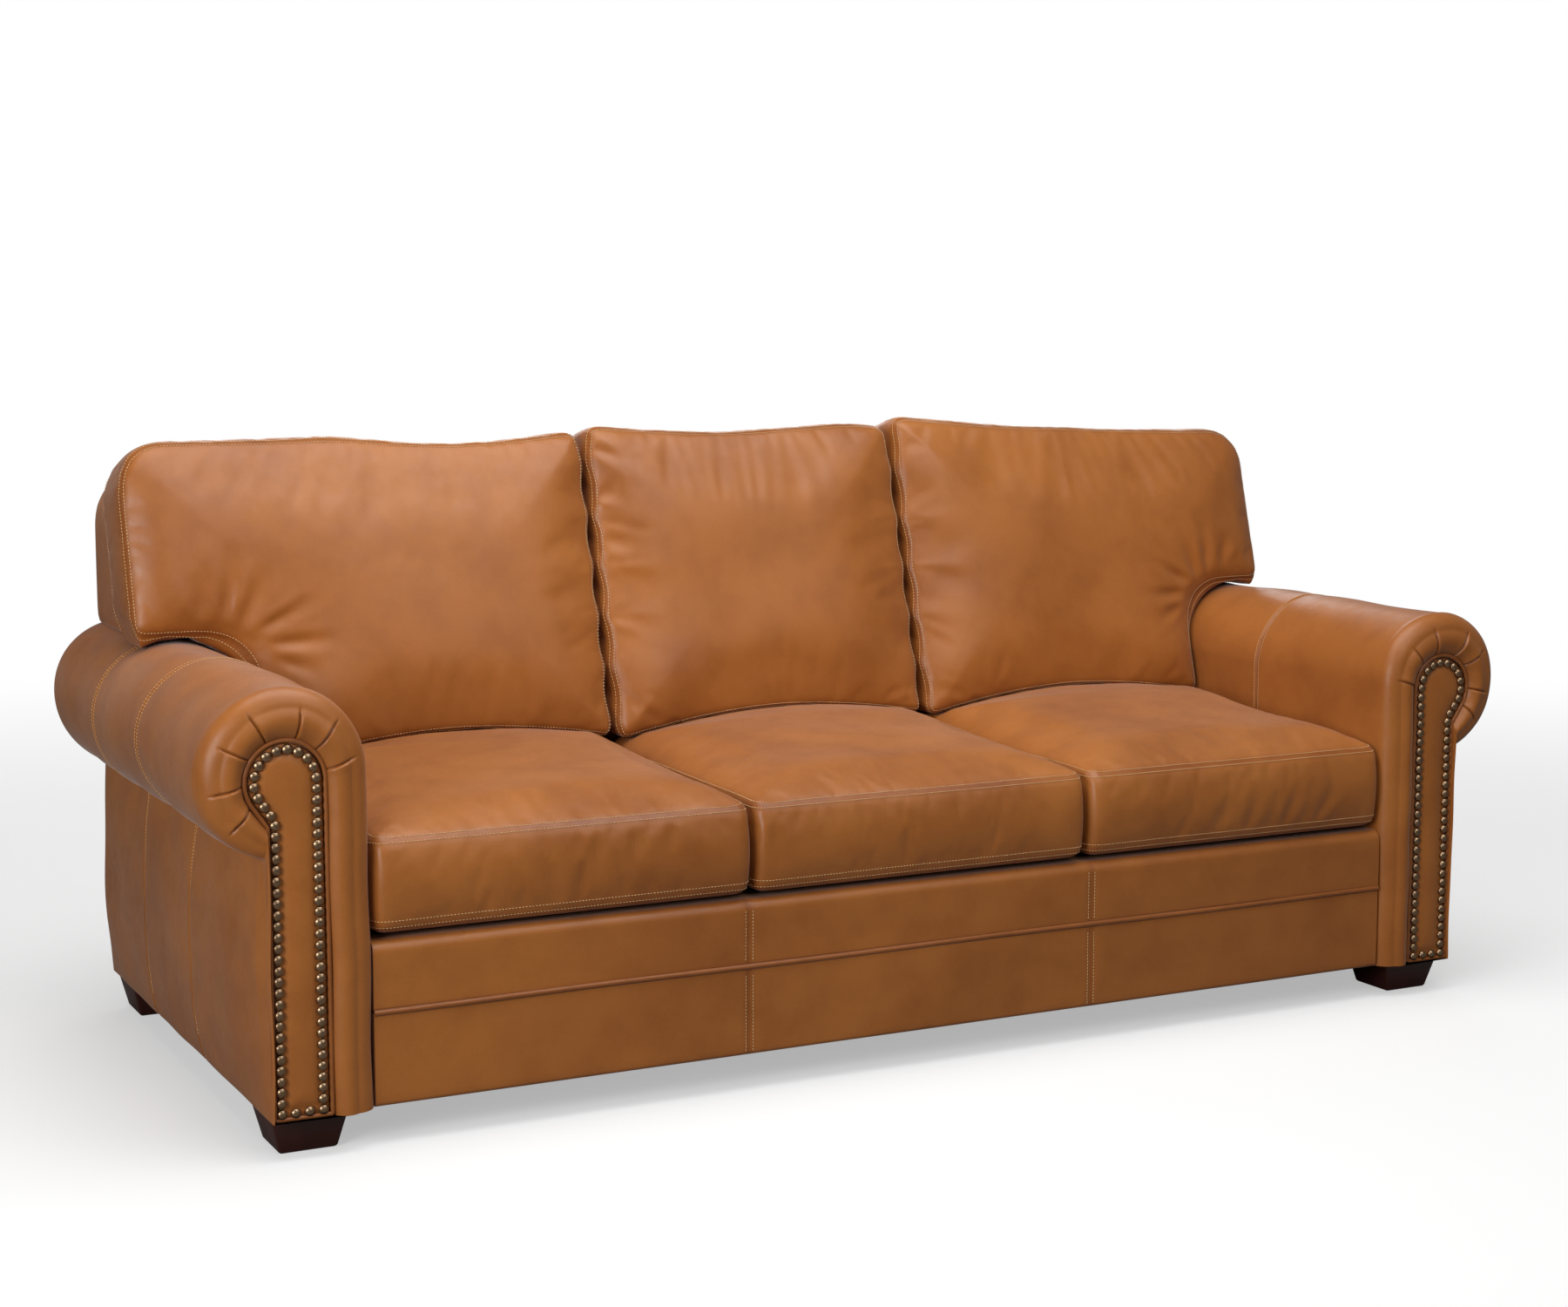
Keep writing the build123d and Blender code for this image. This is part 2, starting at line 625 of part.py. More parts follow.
def zip_tape():
    """Zip with its teeth, drawn with its back on the plane y = 0."""
    half = ZIP_LENGTH / 2 - FIT
    tall = ZIP_TAPE_HEIGHT / 2
    tape = block((-half, half), (0, ZIP_TAPE_THICK / 2), (-tall, tall))
    teeth = block((-half, half), (ZIP_TAPE_THICK / 2, ZIP_TAPE_THICK), (-tall / 4, tall / 4))
    return tape + teeth


def zip_slider():
    """Slider with its pull hanging down, at the left-hand end of the zip."""
    x0 = -ZIP_LENGTH / 2 + ZIP_END
    x = (x0, x0 + SLIDER_LENGTH)
    y0 = ZIP_TAPE_THICK + ZIP_RUNNING
    body = block(x, (y0, y0 + SLIDER_THICK), (-SLIDER_HEIGHT / 2, SLIDER_HEIGHT / 2))
    body = fillet(body.edges().filter_by(Axis.Y), SLIDER_HEIGHT / 4)
    middle = x0 + SLIDER_LENGTH / 2
    pull = block(
        (middle - 3, middle + 3),
        (y0 + PULL_THICK / 2, y0 + 3 * PULL_THICK / 2),
        (-SLIDER_HEIGHT / 2 - PULL_LENGTH, 0),
    )
    return body + pull


def back_outline(inset, side):
    """Outline of a back cushion in x and z. The end cushions have an ear that lies over the arm."""
    half = CUSHION_WIDTH / 2 - inset
    low, high = SEAT_TOP + GAP + inset, CUSHION_TOP - inset
    soft = max(CUSHION_CORNER - inset, 2.0)
    if side == 0:
        face = Pos(0, (low + high) / 2) * Rectangle(2 * half, high - low)
        return fillet(face.vertices(), soft)
    ear = EAR_OUTER - SEAT_PITCH - inset
    shelf = ARM_HEIGHT + 5.0 + inset
    corners = [(-half, low), (half, low), (half, shelf), (ear, shelf), (ear, high), (-half, high)]
    face = make_face(Polyline(*corners, close=True))
    outer_top = face.vertices().sort_by(lambda v: v.X + v.Y)[-1]
    face = fillet(outer_top, EAR_CORNER - inset)
    hollow = face.vertices().sort_by_distance(Vector(half, shelf, 0))[0]
    face = fillet(hollow, EAR_HOLLOW)
    sharp = [Vector(*c, 0) for c in corners]
    rest = [v for v in face.vertices() if min((Vector(v) - c).length for c in sharp) < 0.01]
    return fillet(rest, soft)


def back_body(inset, side):
    """A back cushion about its own middle, before its edges are rounded."""
    low, high = SEAT_TOP - 10, CUSHION_TOP + 10
    depth = inset / cos(radians(RAKE))
    front = [BACK_SEAM_Y + depth + (z - BACK_SEAM_Z) * SLOPE for z in (low, high)]
    rear = [BACK_SEAM_Y + BACK_CUSHION_DEPTH - depth + (z - BACK_SEAM_Z) * SLOPE for z in (low, high)]
    slab = make_face(Polyline((front[0], low), (front[1], high), (rear[1], high), (rear[0], low), close=True))
    wide = OVERALL_WIDTH / 2
    outline = back_outline(inset, abs(side))
    return along_x(slab, -wide, wide) & along_y(outline, -REAR, 2 * REAR)


def back_cushion_cover(side):
    body = back_body(0, side)
    raked = body.faces().filter_by(lambda f: abs(f.normal_at().X) < 0.01 and abs(f.normal_at().Y) > 0.9)
    body = fillet([e for f in raked for e in f.edges()], CUSHION_FILLET)
    half = ZIP_LENGTH / 2
    slot = block((-half, half), (0, 2 * ZIP_SLOT_DEPTH), (-ZIP_SLOT_HEIGHT / 2, ZIP_SLOT_HEIGHT / 2))
    return body - back_body(COVER_WALL, side) - BACK_ZIP * slot


def back_cushion_fill(side):
    return back_body(COVER_WALL + FIT, side)


def on_side(shape, side):
    """Moves a cushion piece to its place: side -1 is the left, 0 the middle, 1 the right."""
    if side < 0:
        shape = mirror(shape, about=Plane.YZ)
    return Pos(side * SEAT_PITCH, 0, 0) * shape


def write_cushions():
    for side, name in ((-1, "left"), (0, "middle"), (1, "right")):
        place = Pos(side * SEAT_PITCH, 0, 0)
        save(f"{name}_seat_cover", place * seat_cover())
        save(f"{name}_seat_foam", place * seat_core())
        save(f"{name}_seat_zip", place * ZIP_SEAT * zip_tape())
        save(f"{name}_seat_zip_slider", place * ZIP_SEAT * zip_slider())
        save(f"{name}_back_cover", on_side(back_cushion_cover(side), side))
        save(f"{name}_back_fill", on_side(back_cushion_fill(side), side))
        save(f"{name}_back_zip", place * BACK_ZIP * zip_tape())
        save(f"{name}_back_zip_slider", place * BACK_ZIP * zip_slider())


def write_arms():
    save("right_arm_cover", arm_cover())
    save("left_arm_cover", left(arm_cover()))
    save("right_arm_panel", arm_panel())
    save("left_arm_panel", left(arm_panel()))
    save("arm_welts", both(arm_welt()))
    save("arm_nails", arm_nails())
    save("arm_front_boards", both(arm_board(CAVITY_FRONT)))
    save("arm_rear_boards", both(arm_board(CAVITY_REAR - ARM_BOARD)))
    save("arm_top_boards", both(arm_top_board()))
    save("arm_roll_foams", both(arm_roll_foam()))


def write_frame():
    save("front_rail", front_rail())
    save("back_rail", back_rail())
    save("side_rails", both(side_rail()))
    save("seat_stretchers", both(seat_stretcher()))
    save("spring_rail", spring_rail())
    save("foot_blocks", both(foot_block(True) + foot_block(False)))
    save("back_posts", both(back_post()))
    save("back_gussets", both(back_gusset(GUSSET_X[0]) + back_gusset(GUSSET_X[1])))
    save("back_top_rail", back_top_rail())
    save("back_webbing", back_webbing())
    save("back_shell", back_shell())
    save("outer_back_panel", outer_back_panel())


def write_seat():
    save("front_upper_band", front_upper_band())
    save("front_lower_band", front_lower_band())
    save("front_welt", front_welt())
    save("seat_deck", seat_deck())
    save("dust_cover", dust_cover())
    save("seat_springs", seat_springs())
    save("spring_clips", spring_clips())


def write_feet():
    for x, y in foot_places():
        name = ("front" if y < 0 else "rear") + ("_left" if x < 0 else "_right") + "_foot"
        save(name, Pos(x, y, 0) * foot())
    save("foot_bolts", at_feet(foot_bolt()))
    save("foot_tee_nuts", at_feet(tee_nut()))


os.makedirs("parts", exist_ok=True)
write_arms()
write_frame()
write_seat()
write_feet()
write_cushions()
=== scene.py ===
# %% [markdown]
# # A rolled-arm leather sofa
# This lesson gives the finished look to a three-seat leather sofa whose frame, sizes and moving parts
# already exist. The frame is loaded first and never moved. Each soft piece is then modelled over it,
# and rides on the body that carries it.

# %% Load the frame
import json
import math

import bmesh
import bpy
import numpy as np
from mathutils import Matrix, Vector
from mathutils.bvhtree import BVHTree


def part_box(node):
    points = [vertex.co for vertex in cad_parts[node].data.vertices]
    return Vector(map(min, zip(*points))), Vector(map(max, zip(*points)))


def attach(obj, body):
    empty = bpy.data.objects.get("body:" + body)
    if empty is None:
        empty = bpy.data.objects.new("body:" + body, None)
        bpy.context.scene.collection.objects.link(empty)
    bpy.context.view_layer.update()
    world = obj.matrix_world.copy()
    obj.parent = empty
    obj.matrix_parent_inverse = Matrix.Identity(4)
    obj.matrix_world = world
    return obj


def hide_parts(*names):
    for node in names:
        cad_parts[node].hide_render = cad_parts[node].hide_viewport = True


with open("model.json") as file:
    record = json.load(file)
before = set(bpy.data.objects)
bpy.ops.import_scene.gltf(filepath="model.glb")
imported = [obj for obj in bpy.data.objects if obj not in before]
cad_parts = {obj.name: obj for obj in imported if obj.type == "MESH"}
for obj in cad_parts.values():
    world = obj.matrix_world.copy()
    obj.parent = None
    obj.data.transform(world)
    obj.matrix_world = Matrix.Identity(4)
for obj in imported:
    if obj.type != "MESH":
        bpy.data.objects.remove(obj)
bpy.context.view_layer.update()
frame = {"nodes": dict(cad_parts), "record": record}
SIDES = {"left": -1, "middle": 0, "right": 1}

# %% [markdown]
# ## Measures
# A cover has to fit its frame, so its sizes are read from the frame's own pieces instead of being typed in
# again. What the frame doesn't say, such as how far a panel puffs out, is named here or where it is used.

# %% Measures read from the frame
arm_low, arm_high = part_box("right_arm_cover")
panel_low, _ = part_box("right_arm_panel")
seat_low, seat_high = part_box("middle_seat_cover")
back_low, back_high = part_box("middle_back_cover")
_, end_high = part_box("right_back_cover")
band_low, band_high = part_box("front_upper_band")
_, hem_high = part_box("front_lower_band")
shell_low, shell_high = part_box("back_shell")
rear_low, rear_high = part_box("outer_back_panel")
ROLL = (arm_high.x - arm_low.x) / 2
ROLL_X = arm_high.x - ROLL
ROLL_Z = arm_high.z - ROLL
ARM_IN = arm_low.x
ARM_WIDTH = 0.151
ARM_OUT = ARM_IN + ARM_WIDTH
ARCH = 0.058
ABOVE_ARCH = 0.072
ARCH_Z = arm_high.z - ABOVE_ARCH - ARCH
FLOOR_GAP = arm_low.z
FRONT = arm_low.y
PANEL_Y = panel_low.y
LEAN = math.radians(15.1)
RAKE = math.tan(LEAN)
CUSHION_GAP = 0.0006
PITCH = seat_high.x - seat_low.x + CUSHION_GAP
print("arm roll radius", round(ROLL, 4), "at", round(ROLL_X, 4), round(ROLL_Z, 4))

# %% [markdown]
# ## Small tools
# Blender's operators act on whatever is selected, and the frame is selected after loading, so every
# modelling step starts by letting go of everything. Padded pieces need their points moved one by one,
# as a sculptor would, and numpy moves all of them at once.


# %% Selecting, reading and writing points
def alone(piece):
    bpy.ops.object.select_all(action="DESELECT")
    piece.select_set(True)
    bpy.context.view_layer.objects.active = piece


def points(piece):
    co = np.empty(len(piece.data.vertices) * 3, np.float32)
    piece.data.vertices.foreach_get("co", co)
    return co.reshape(-1, 3).astype(float)


def normals(piece):
    no = np.empty(len(piece.data.vertices) * 3, np.float32)
    piece.data.vertices.foreach_get("normal", no)
    return no.reshape(-1, 3).astype(float)


def place(piece, co):
    piece.data.vertices.foreach_set("co", np.asarray(co, np.float32).ravel())
    piece.data.update()


def mesh_piece(name, co, faces):
    mesh = bpy.data.meshes.new(name)
    mesh.from_pydata([tuple(p) for p in np.asarray(co, float)], [], [tuple(f) for f in faces])
    mesh.update()
    piece = bpy.data.objects.new(name, mesh)
    bpy.context.scene.collection.objects.link(piece)
    return piece


def outward(piece):
    alone(piece)
    bpy.ops.object.mode_set(mode="EDIT")
    bpy.ops.mesh.select_all(action="SELECT")
    bpy.ops.mesh.remove_doubles(threshold=0.00005)
    bpy.ops.mesh.normals_make_consistent(inside=False)
    bpy.ops.object.mode_set(mode="OBJECT")


def smooth(piece, angle=40):
    alone(piece)
    bpy.ops.object.shade_smooth_by_angle(angle=math.radians(angle))


def keep_modifier(piece, kind, **values):
    alone(piece)
    modifier = piece.modifiers.new(kind.title(), kind)
    for key, value in values.items():
        setattr(modifier, key, value)
    bpy.ops.object.modifier_apply(modifier=modifier.name)


def ripple(co, size, seed, waves=9):
    """Soft, repeatable unevenness between about -1 and 1: a few long waves in mixed directions."""
    rng = np.random.default_rng(seed)
    total = np.zeros(len(co))
    for _ in range(waves):
        way = rng.normal(size=3)
        way /= np.linalg.norm(way)
        total += np.sin(co @ way * (2 * math.pi / (size * rng.uniform(0.7, 1.5))) + rng.uniform(0, 6.28))
    return total / math.sqrt(waves)


print("tools ready")

# %% [markdown]
# ## Leather
# The hide is a warm tan, dyed through, so its colour wanders softly over a hand's width and darkens a
# little beside the seams. The pleats at the front of each arm are darkened the same way, and that is
# painted shade in their folds. It has a fine pebbled grain that shows as a slight change in gloss and relief,
# and a waxy finish that looks paler at a low angle. A node group holds the grain, so that every
# leather piece shares it and only its own values differ. The sheen is set on the shader itself.


# %% A node group for grain
def new_socket(group, name, kind, direction, value=None):
    socket = group.interface.new_socket(name, in_out=direction, socket_type=kind)
    if value is not None:
        socket.default_value = value
    return socket


def grain_group():
    group = bpy.data.node_groups.new("hide_grain", "ShaderNodeTree")
    new_socket(group, "Colour", "NodeSocketColor", "INPUT", (0.42, 0.155, 0.045, 1))
    new_socket(group, "Deep Colour", "NodeSocketColor", "INPUT", (0.26, 0.08, 0.022, 1))
    new_socket(group, "Size", "NodeSocketFloat", "INPUT", 1.0)
    new_socket(group, "Seam", "NodeSocketFloat", "INPUT", 0.0)
    new_socket(group, "Colour", "NodeSocketColor", "OUTPUT")
    new_socket(group, "Roughness", "NodeSocketFloat", "OUTPUT")
    new_socket(group, "Height", "NodeSocketFloat", "OUTPUT")
    nodes, link = group.nodes, group.links.new
    inside, out = nodes.new("NodeGroupInput"), nodes.new("NodeGroupOutput")
    where = nodes.new("ShaderNodeTexCoord")
    spread = nodes.new("ShaderNodeVectorMath")
    spread.operation = "SCALE"
    link(where.outputs["Object"], spread.inputs[0])
    link(inside.outputs["Size"], spread.inputs["Scale"])

    def noise(scale, detail, rough=0.5):
        node = nodes.new("ShaderNodeTexNoise")
        node.inputs["Scale"].default_value = scale
        node.inputs["Detail"].default_value = detail
        node.inputs["Roughness"].default_value = rough
        link(spread.outputs[0], node.inputs["Vector"])
        return node.outputs["Fac"]

    def ramp(source, low, high, a=0.0, b=1.0):
        node = nodes.new("ShaderNodeMapRange")
        node.interpolation_type = "SMOOTHSTEP"
        for key, value in (("From Min", low), ("From Max", high), ("To Min", a), ("To Max", b)):
            node.inputs[key].default_value = value
        link(source, node.inputs["Value"])
        return node.outputs["Result"]

    def maths(kind, a, b):
        node = nodes.new("ShaderNodeMath")
        node.operation = kind
        for socket, value in zip(node.inputs, (a, b)):
            if isinstance(value, (int, float)):
                socket.default_value = value
            else:
                link(value, socket)
        return node.outputs[0]

    cloud = ramp(noise(3.6, 3.0, 0.5), 0.3, 0.72, 0.0, 0.34)
    blotch = ramp(noise(15.0, 5.0, 0.6), 0.36, 0.72, 0.0, 0.22)
    pore = ramp(noise(420.0, 2.0), 0.4, 0.75, 0.0, 0.1)
    # Seams darken the hide; on the arms this input also carries painted shade in the pleat folds.
    seam = maths("MULTIPLY", inside.outputs["Seam"], 0.45)
    depth = maths("ADD", maths("ADD", cloud, blotch), maths("ADD", pore, seam))
    mix = nodes.new("ShaderNodeMix")
    mix.data_type = "RGBA"
    link(depth, mix.inputs[0])
    link(inside.outputs["Colour"], mix.inputs[6])
    link(inside.outputs["Deep Colour"], mix.inputs[7])
    link(mix.outputs[2], out.inputs["Colour"])
    cells = nodes.new("ShaderNodeTexVoronoi")
    cells.feature = "DISTANCE_TO_EDGE"
    cells.inputs["Scale"].default_value = 520.0
    link(spread.outputs[0], cells.inputs["Vector"])
    pebble = ramp(cells.outputs["Distance"], 0.0, 0.22)
    fold = noise(70.0, 4.0, 0.6)
    height = maths("ADD", maths("MULTIPLY", pebble, 0.35), maths("MULTIPLY", fold, 0.9))
    link(height, out.inputs["Height"])
    gloss = ramp(noise(38.0, 4.0, 0.65), 0.3, 0.75, 0.36, 0.5)
    link(maths("ADD", gloss, maths("MULTIPLY", pebble, -0.05)), out.inputs["Roughness"])
    return group


HIDE = grain_group()
print("grain group has", len(HIDE.nodes), "nodes")


# %% Leather material
def material(name):
    made = bpy.data.materials.new(name)
    made.use_nodes = True
    shader = made.node_tree.nodes["Principled BSDF"]
    return made, made.node_tree.nodes, made.node_tree.links.new, shader


def leather(name, colour, deep, bump=0.12, size=1.0):
    made, nodes, link, shader = material(name)
    group = nodes.new("ShaderNodeGroup")
    group.node_tree = HIDE
    group.inputs["Colour"].default_value = (*colour, 1)
    group.inputs["Deep Colour"].default_value = (*deep, 1)
    group.inputs["Size"].default_value = size
    # The seam attribute: seams, and on the arms painted shade in the pleat folds.
    seam = nodes.new("ShaderNodeAttribute")
    seam.attribute_name = "seam"
    link(seam.outputs["Fac"], group.inputs["Seam"])
    link(group.outputs["Colour"], shader.inputs["Base Color"])
    link(group.outputs["Roughness"], shader.inputs["Roughness"])
    dent = nodes.new("ShaderNodeBump")
    dent.inputs["Strength"].default_value = bump
    dent.inputs["Distance"].default_value = 0.0015
    link(group.outputs["Height"], dent.inputs["Height"])
    link(dent.outputs["Normal"], shader.inputs["Normal"])
    shader.inputs["Sheen Weight"].default_value = 0.19
    shader.inputs["Sheen Roughness"].default_value = 0.35
    shader.inputs["Sheen Tint"].default_value = (0.95, 0.96, 1.0, 1)
    shader.inputs["Specular IOR Level"].default_value = 0.4
    return made


TAN = leather("tan_leather", (0.372, 0.126, 0.0235), (0.185, 0.048, 0.0068))
WELT_LEATHER = leather("welt_leather", (0.28, 0.089, 0.017), (0.145, 0.038, 0.006), bump=0.08, size=1.6)
print("leathers:", TAN.name, WELT_LEATHER.name)

# %% [markdown]
# ## The other finishes
# The frame's own pieces keep their shape and get a finish each: raw softwood with its growth rings, dark
# stained feet, old brass, spring steel, woven cloths and foam. Each is a few noise or wave textures read
# on object coordinates, stretched along the piece where the real grain or weave runs that way.


# %% Simple finishes
def fine_grain_group():
    group = bpy.data.node_groups.new("fine_grain", "ShaderNodeTree")
    new_socket(group, "Light", "NodeSocketColor", "INPUT")
    new_socket(group, "Dark", "NodeSocketColor", "INPUT")
    new_socket(group, "Stretch", "NodeSocketVector", "INPUT", (1, 1, 1))
    for name in ("Scale", "Rings", "Least Rough", "Most Rough"):
        new_socket(group, name, "NodeSocketFloat", "INPUT", 1.0)
    new_socket(group, "Colour", "NodeSocketColor", "OUTPUT")
    new_socket(group, "Roughness", "NodeSocketFloat", "OUTPUT")
    new_socket(group, "Height", "NodeSocketFloat", "OUTPUT")
    nodes, link = group.nodes, group.links.new
    inside, out = nodes.new("NodeGroupInput"), nodes.new("NodeGroupOutput")
    where, stretched = nodes.new("ShaderNodeTexCoord"), nodes.new("ShaderNodeVectorMath")
    stretched.operation = "MULTIPLY"
    link(where.outputs["Object"], stretched.inputs[0])
    link(inside.outputs["Stretch"], stretched.inputs[1])
    speck, ring = nodes.new("ShaderNodeTexNoise"), nodes.new("ShaderNodeTexWave")
    ring.inputs["Distortion"].default_value = 6.0
    for texture in (speck, ring):
        texture.inputs["Detail"].default_value = 5.0
        link(inside.outputs["Scale"], texture.inputs["Scale"])
        link(stretched.outputs[0], texture.inputs["Vector"])
    value = nodes.new("ShaderNodeMix")
    link(inside.outputs["Rings"], value.inputs[0])
    link(speck.outputs["Fac"], value.inputs[2])
    link(ring.outputs["Fac"], value.inputs[3])
    colours = nodes.new("ShaderNodeMix")
    colours.data_type = "RGBA"
    link(value.outputs[0], colours.inputs[0])
    link(inside.outputs["Light"], colours.inputs[6])
    link(inside.outputs["Dark"], colours.inputs[7])
    gloss = nodes.new("ShaderNodeMapRange")
    link(value.outputs[0], gloss.inputs["Value"])
    link(inside.outputs["Least Rough"], gloss.inputs["To Min"])
    link(inside.outputs["Most Rough"], gloss.inputs["To Max"])
    link(colours.outputs[2], out.inputs["Colour"])
    link(gloss.outputs["Result"], out.inputs["Roughness"])
    link(value.outputs[0], out.inputs["Height"])
    return group


FINE = fine_grain_group()


def finish(name, light, dark, scale, stretch=(1, 1, 1), rough=(0.4, 0.7), metal=0.0, bump=0.1, rings=0.0):
    made, nodes, link, shader = material(name)
    grain = nodes.new("ShaderNodeGroup")
    grain.node_tree = FINE
    settings = {"Light": (*light, 1), "Dark": (*dark, 1), "Stretch": stretch, "Scale": scale, "Rings": rings}
    settings["Least Rough"], settings["Most Rough"] = rough
    for key, value in settings.items():
        grain.inputs[key].default_value = value
    link(grain.outputs["Colour"], shader.inputs["Base Color"])
    link(grain.outputs["Roughness"], shader.inputs["Roughness"])
    dent = nodes.new("ShaderNodeBump")
    dent.inputs["Strength"].default_value = bump
    dent.inputs["Distance"].default_value = 0.001
    link(grain.outputs["Height"], dent.inputs["Height"])
    link(dent.outputs["Normal"], shader.inputs["Normal"])
    shader.inputs["Metallic"].default_value = metal
    return made


ESPRESSO = finish(
    "espresso_wood", (0.05, 0.0105, 0.007), (0.022, 0.005, 0.0035), 26, (1, 1, 0.12), (0.24, 0.38), bump=0.15
)
PINE = finish("frame_wood", (0.62, 0.42, 0.22), (0.42, 0.25, 0.11), 9, (0.15, 1, 1), (0.6, 0.8), rings=1.0)
BRASS = finish("old_brass", (0.44, 0.30, 0.18), (0.21, 0.135, 0.08), 170, rough=(0.26, 0.44), metal=1.0)
STEEL = finish("spring_steel", (0.5, 0.5, 0.52), (0.3, 0.3, 0.31), 60, rough=(0.3, 0.5), metal=1.0)
FOAM = finish("cushion_foam", (0.85, 0.8, 0.62), (0.7, 0.62, 0.42), 240, rough=(0.85, 0.95), bump=0.4)
DECK = finish("deck_cloth", (0.17, 0.085, 0.04), (0.09, 0.042, 0.02), 500, (1, 0.3, 1), (0.8, 0.95), bump=0.3)
DUST = finish("dust_cloth", (0.02, 0.02, 0.022), (0.008, 0.008, 0.009), 400, rough=(0.85, 0.95), bump=0.3)
WEB = finish("jute_webbing", (0.5, 0.42, 0.3), (0.32, 0.24, 0.14), 300, (0.3, 1, 1), (0.8, 0.95), bump=0.4)
TAPE = finish("zip_tape", (0.16, 0.07, 0.03), (0.07, 0.03, 0.014), 600, (0.3, 1, 1), (0.7, 0.9), bump=0.3)
THREAD = finish("tan_thread", (0.66, 0.41, 0.20), (0.50, 0.28, 0.11), 900, rough=(0.5, 0.75), bump=0.3)
FINISHES = {
    "frame_wood": PINE, "dark_wood": ESPRESSO, "antique_brass": BRASS, "zip_metal": BRASS, "steel": STEEL,
    "foam": FOAM, "deck_cloth": DECK, "dust_cloth": DUST, "webbing": WEB, "zip_tape": TAPE, "leather": TAN,
}


def dress(piece, made):
    piece.data.materials.clear()
    piece.data.materials.append(made)


for entry in frame["record"]["subparts"]:
    dress(frame["nodes"][entry["node"]], FINISHES[entry["material_slot"]])

# %% [markdown]
# ## Thread
# The seams are sewn down with rows of thick tan thread beside them. A stitch is a short bead that dips
# into the leather at both ends. Each one is a small four-sided tube, placed along a line that has first
# been dropped onto the finished surface, so it follows every puff and pleat.


# %% Sewing a row of stitches
STITCH = 0.0040
STITCH_GAP = 0.0012
STITCH_R = 0.00078
BESIDE_SEAM = (-0.006, 0.006)


def surface(piece):
    co = points(piece)
    polys = [tuple(p.vertices) for p in piece.data.polygons]
    return BVHTree.FromPolygons([Vector(p) for p in co], polys)


def evenly(line, step):
    line = np.asarray(line, float)
    run = np.concatenate([[0], np.cumsum(np.linalg.norm(np.diff(line, axis=0), axis=1))])
    count = max(int(run[-1] / step), 1)
    at = np.linspace(0, run[-1], count + 1)
    return np.stack([np.interp(at, run, line[:, k]) for k in range(3)], axis=1)


def drop(tree, line, ray=None, reach=0.12):
    """Puts a line onto a surface, along a ray where one is given and otherwise to the nearest place."""
    found = []
    for i, p in enumerate(line):
        p = Vector(p)
        if ray is None:
            spot, normal, _, _ = tree.find_nearest(p, reach)
        else:
            way = Vector(ray[i] if isinstance(ray, np.ndarray) else ray).normalized()
            spot, normal, _, _ = tree.ray_cast(p, way, reach)
        if spot is not None:
            found.append((np.array(spot), np.array(normal)))
    return found


def sew(name, rows):
    """rows is a list of lists of (place, normal): each becomes a row of stitches in one piece."""
    co, faces = [], []
    sides, rings = 4, ((0.0, 0.35), (0.22, 1.0), (0.78, 1.0), (1.0, 0.35))
    turn = [2 * math.pi * k / sides for k in range(sides)]
    for row in rows:
        if len(row) < 3:
            continue
        spots = np.array([r[0] for r in row])
        ups = np.array([r[1] for r in row])
        run = np.concatenate([[0], np.cumsum(np.linalg.norm(np.diff(spots, axis=0), axis=1))])
        start = 0.0
        while start + STITCH < run[-1]:
            ends = [np.array([np.interp(start + t * STITCH, run, spots[:, k]) for k in range(3)]) for t in (0, 1)]
            up = np.array([np.interp(start + STITCH / 2, run, ups[:, k]) for k in range(3)])
            along = ends[1] - ends[0]
            length = np.linalg.norm(along)
            start += STITCH + STITCH_GAP
            if length < STITCH * 0.4 or length > STITCH * 1.3:
                continue
            along /= length
            side = np.cross(along, up)
            side /= np.linalg.norm(side) + 1e-9
            up = np.cross(side, along)
            base = len(co)
            for t, fat in rings:
                lift = 0.0005 if 0 < t < 1 else -0.0004
                centre = ends[0] + along * length * t + up * lift
                for a in turn:
                    co.append(centre + (side * math.cos(a) + up * math.sin(a) * 0.8) * STITCH_R * fat)
            for ring in range(len(rings) - 1):
                for k in range(sides):
                    a, b = base + ring * sides + k, base + ring * sides + (k + 1) % sides
                    faces.append((a, b, b + sides, a + sides))
            faces.append(tuple(base + k for k in reversed(range(sides))))
            faces.append(tuple(base + (len(rings) - 1) * sides + k for k in range(sides)))
    piece = mesh_piece(name, co, faces)
    dress(piece, THREAD)
    for face in piece.data.polygons:
        face.use_smooth = True
    return piece


print("stitch", STITCH, "m long")

# %% [markdown]
# ## Grids
# Upholstery over a board is a skin that follows one outline and runs along it, so arms and front bands
# are woven as grids of rows and columns. A grid keeps its points where pleats and seams need them.


# %% Weaving a grid
def grid_faces(rows, cols, loop=False, start=0):
    faces = []
    for r in range(rows - 1):
        for c in range(cols if loop else cols - 1):
            a, b = start + r * cols + c, start + r * cols + (c + 1) % cols
            faces.append((a, b, b + cols, a + cols))
    return faces


def edge_faces(rim, base):
    """Joins the rim of a grid to that of a second grid, whose points are numbered base higher."""
    return [(a, base + a, base + b, b) for a, b in zip(rim, rim[1:] + rim[:1])]


def seam_and_crease_shade_mark(piece, near):
    """Stores how close each point is to a seam, from 0 far away to 1 on it, for the leather to darken by. On the arms
    it also holds painted shade in the pleat folds.
    """
    layer = piece.data.attributes.new("seam", "FLOAT", "POINT")
    layer.data.foreach_set("value", np.clip(near, 0, 1).astype(np.float32))


def bump_at(x, centre, width):
    return np.exp(-(((x - centre) / width) ** 2))


def mirrored(co):
    return np.asarray(co) * np.array([-1, 1, 1])


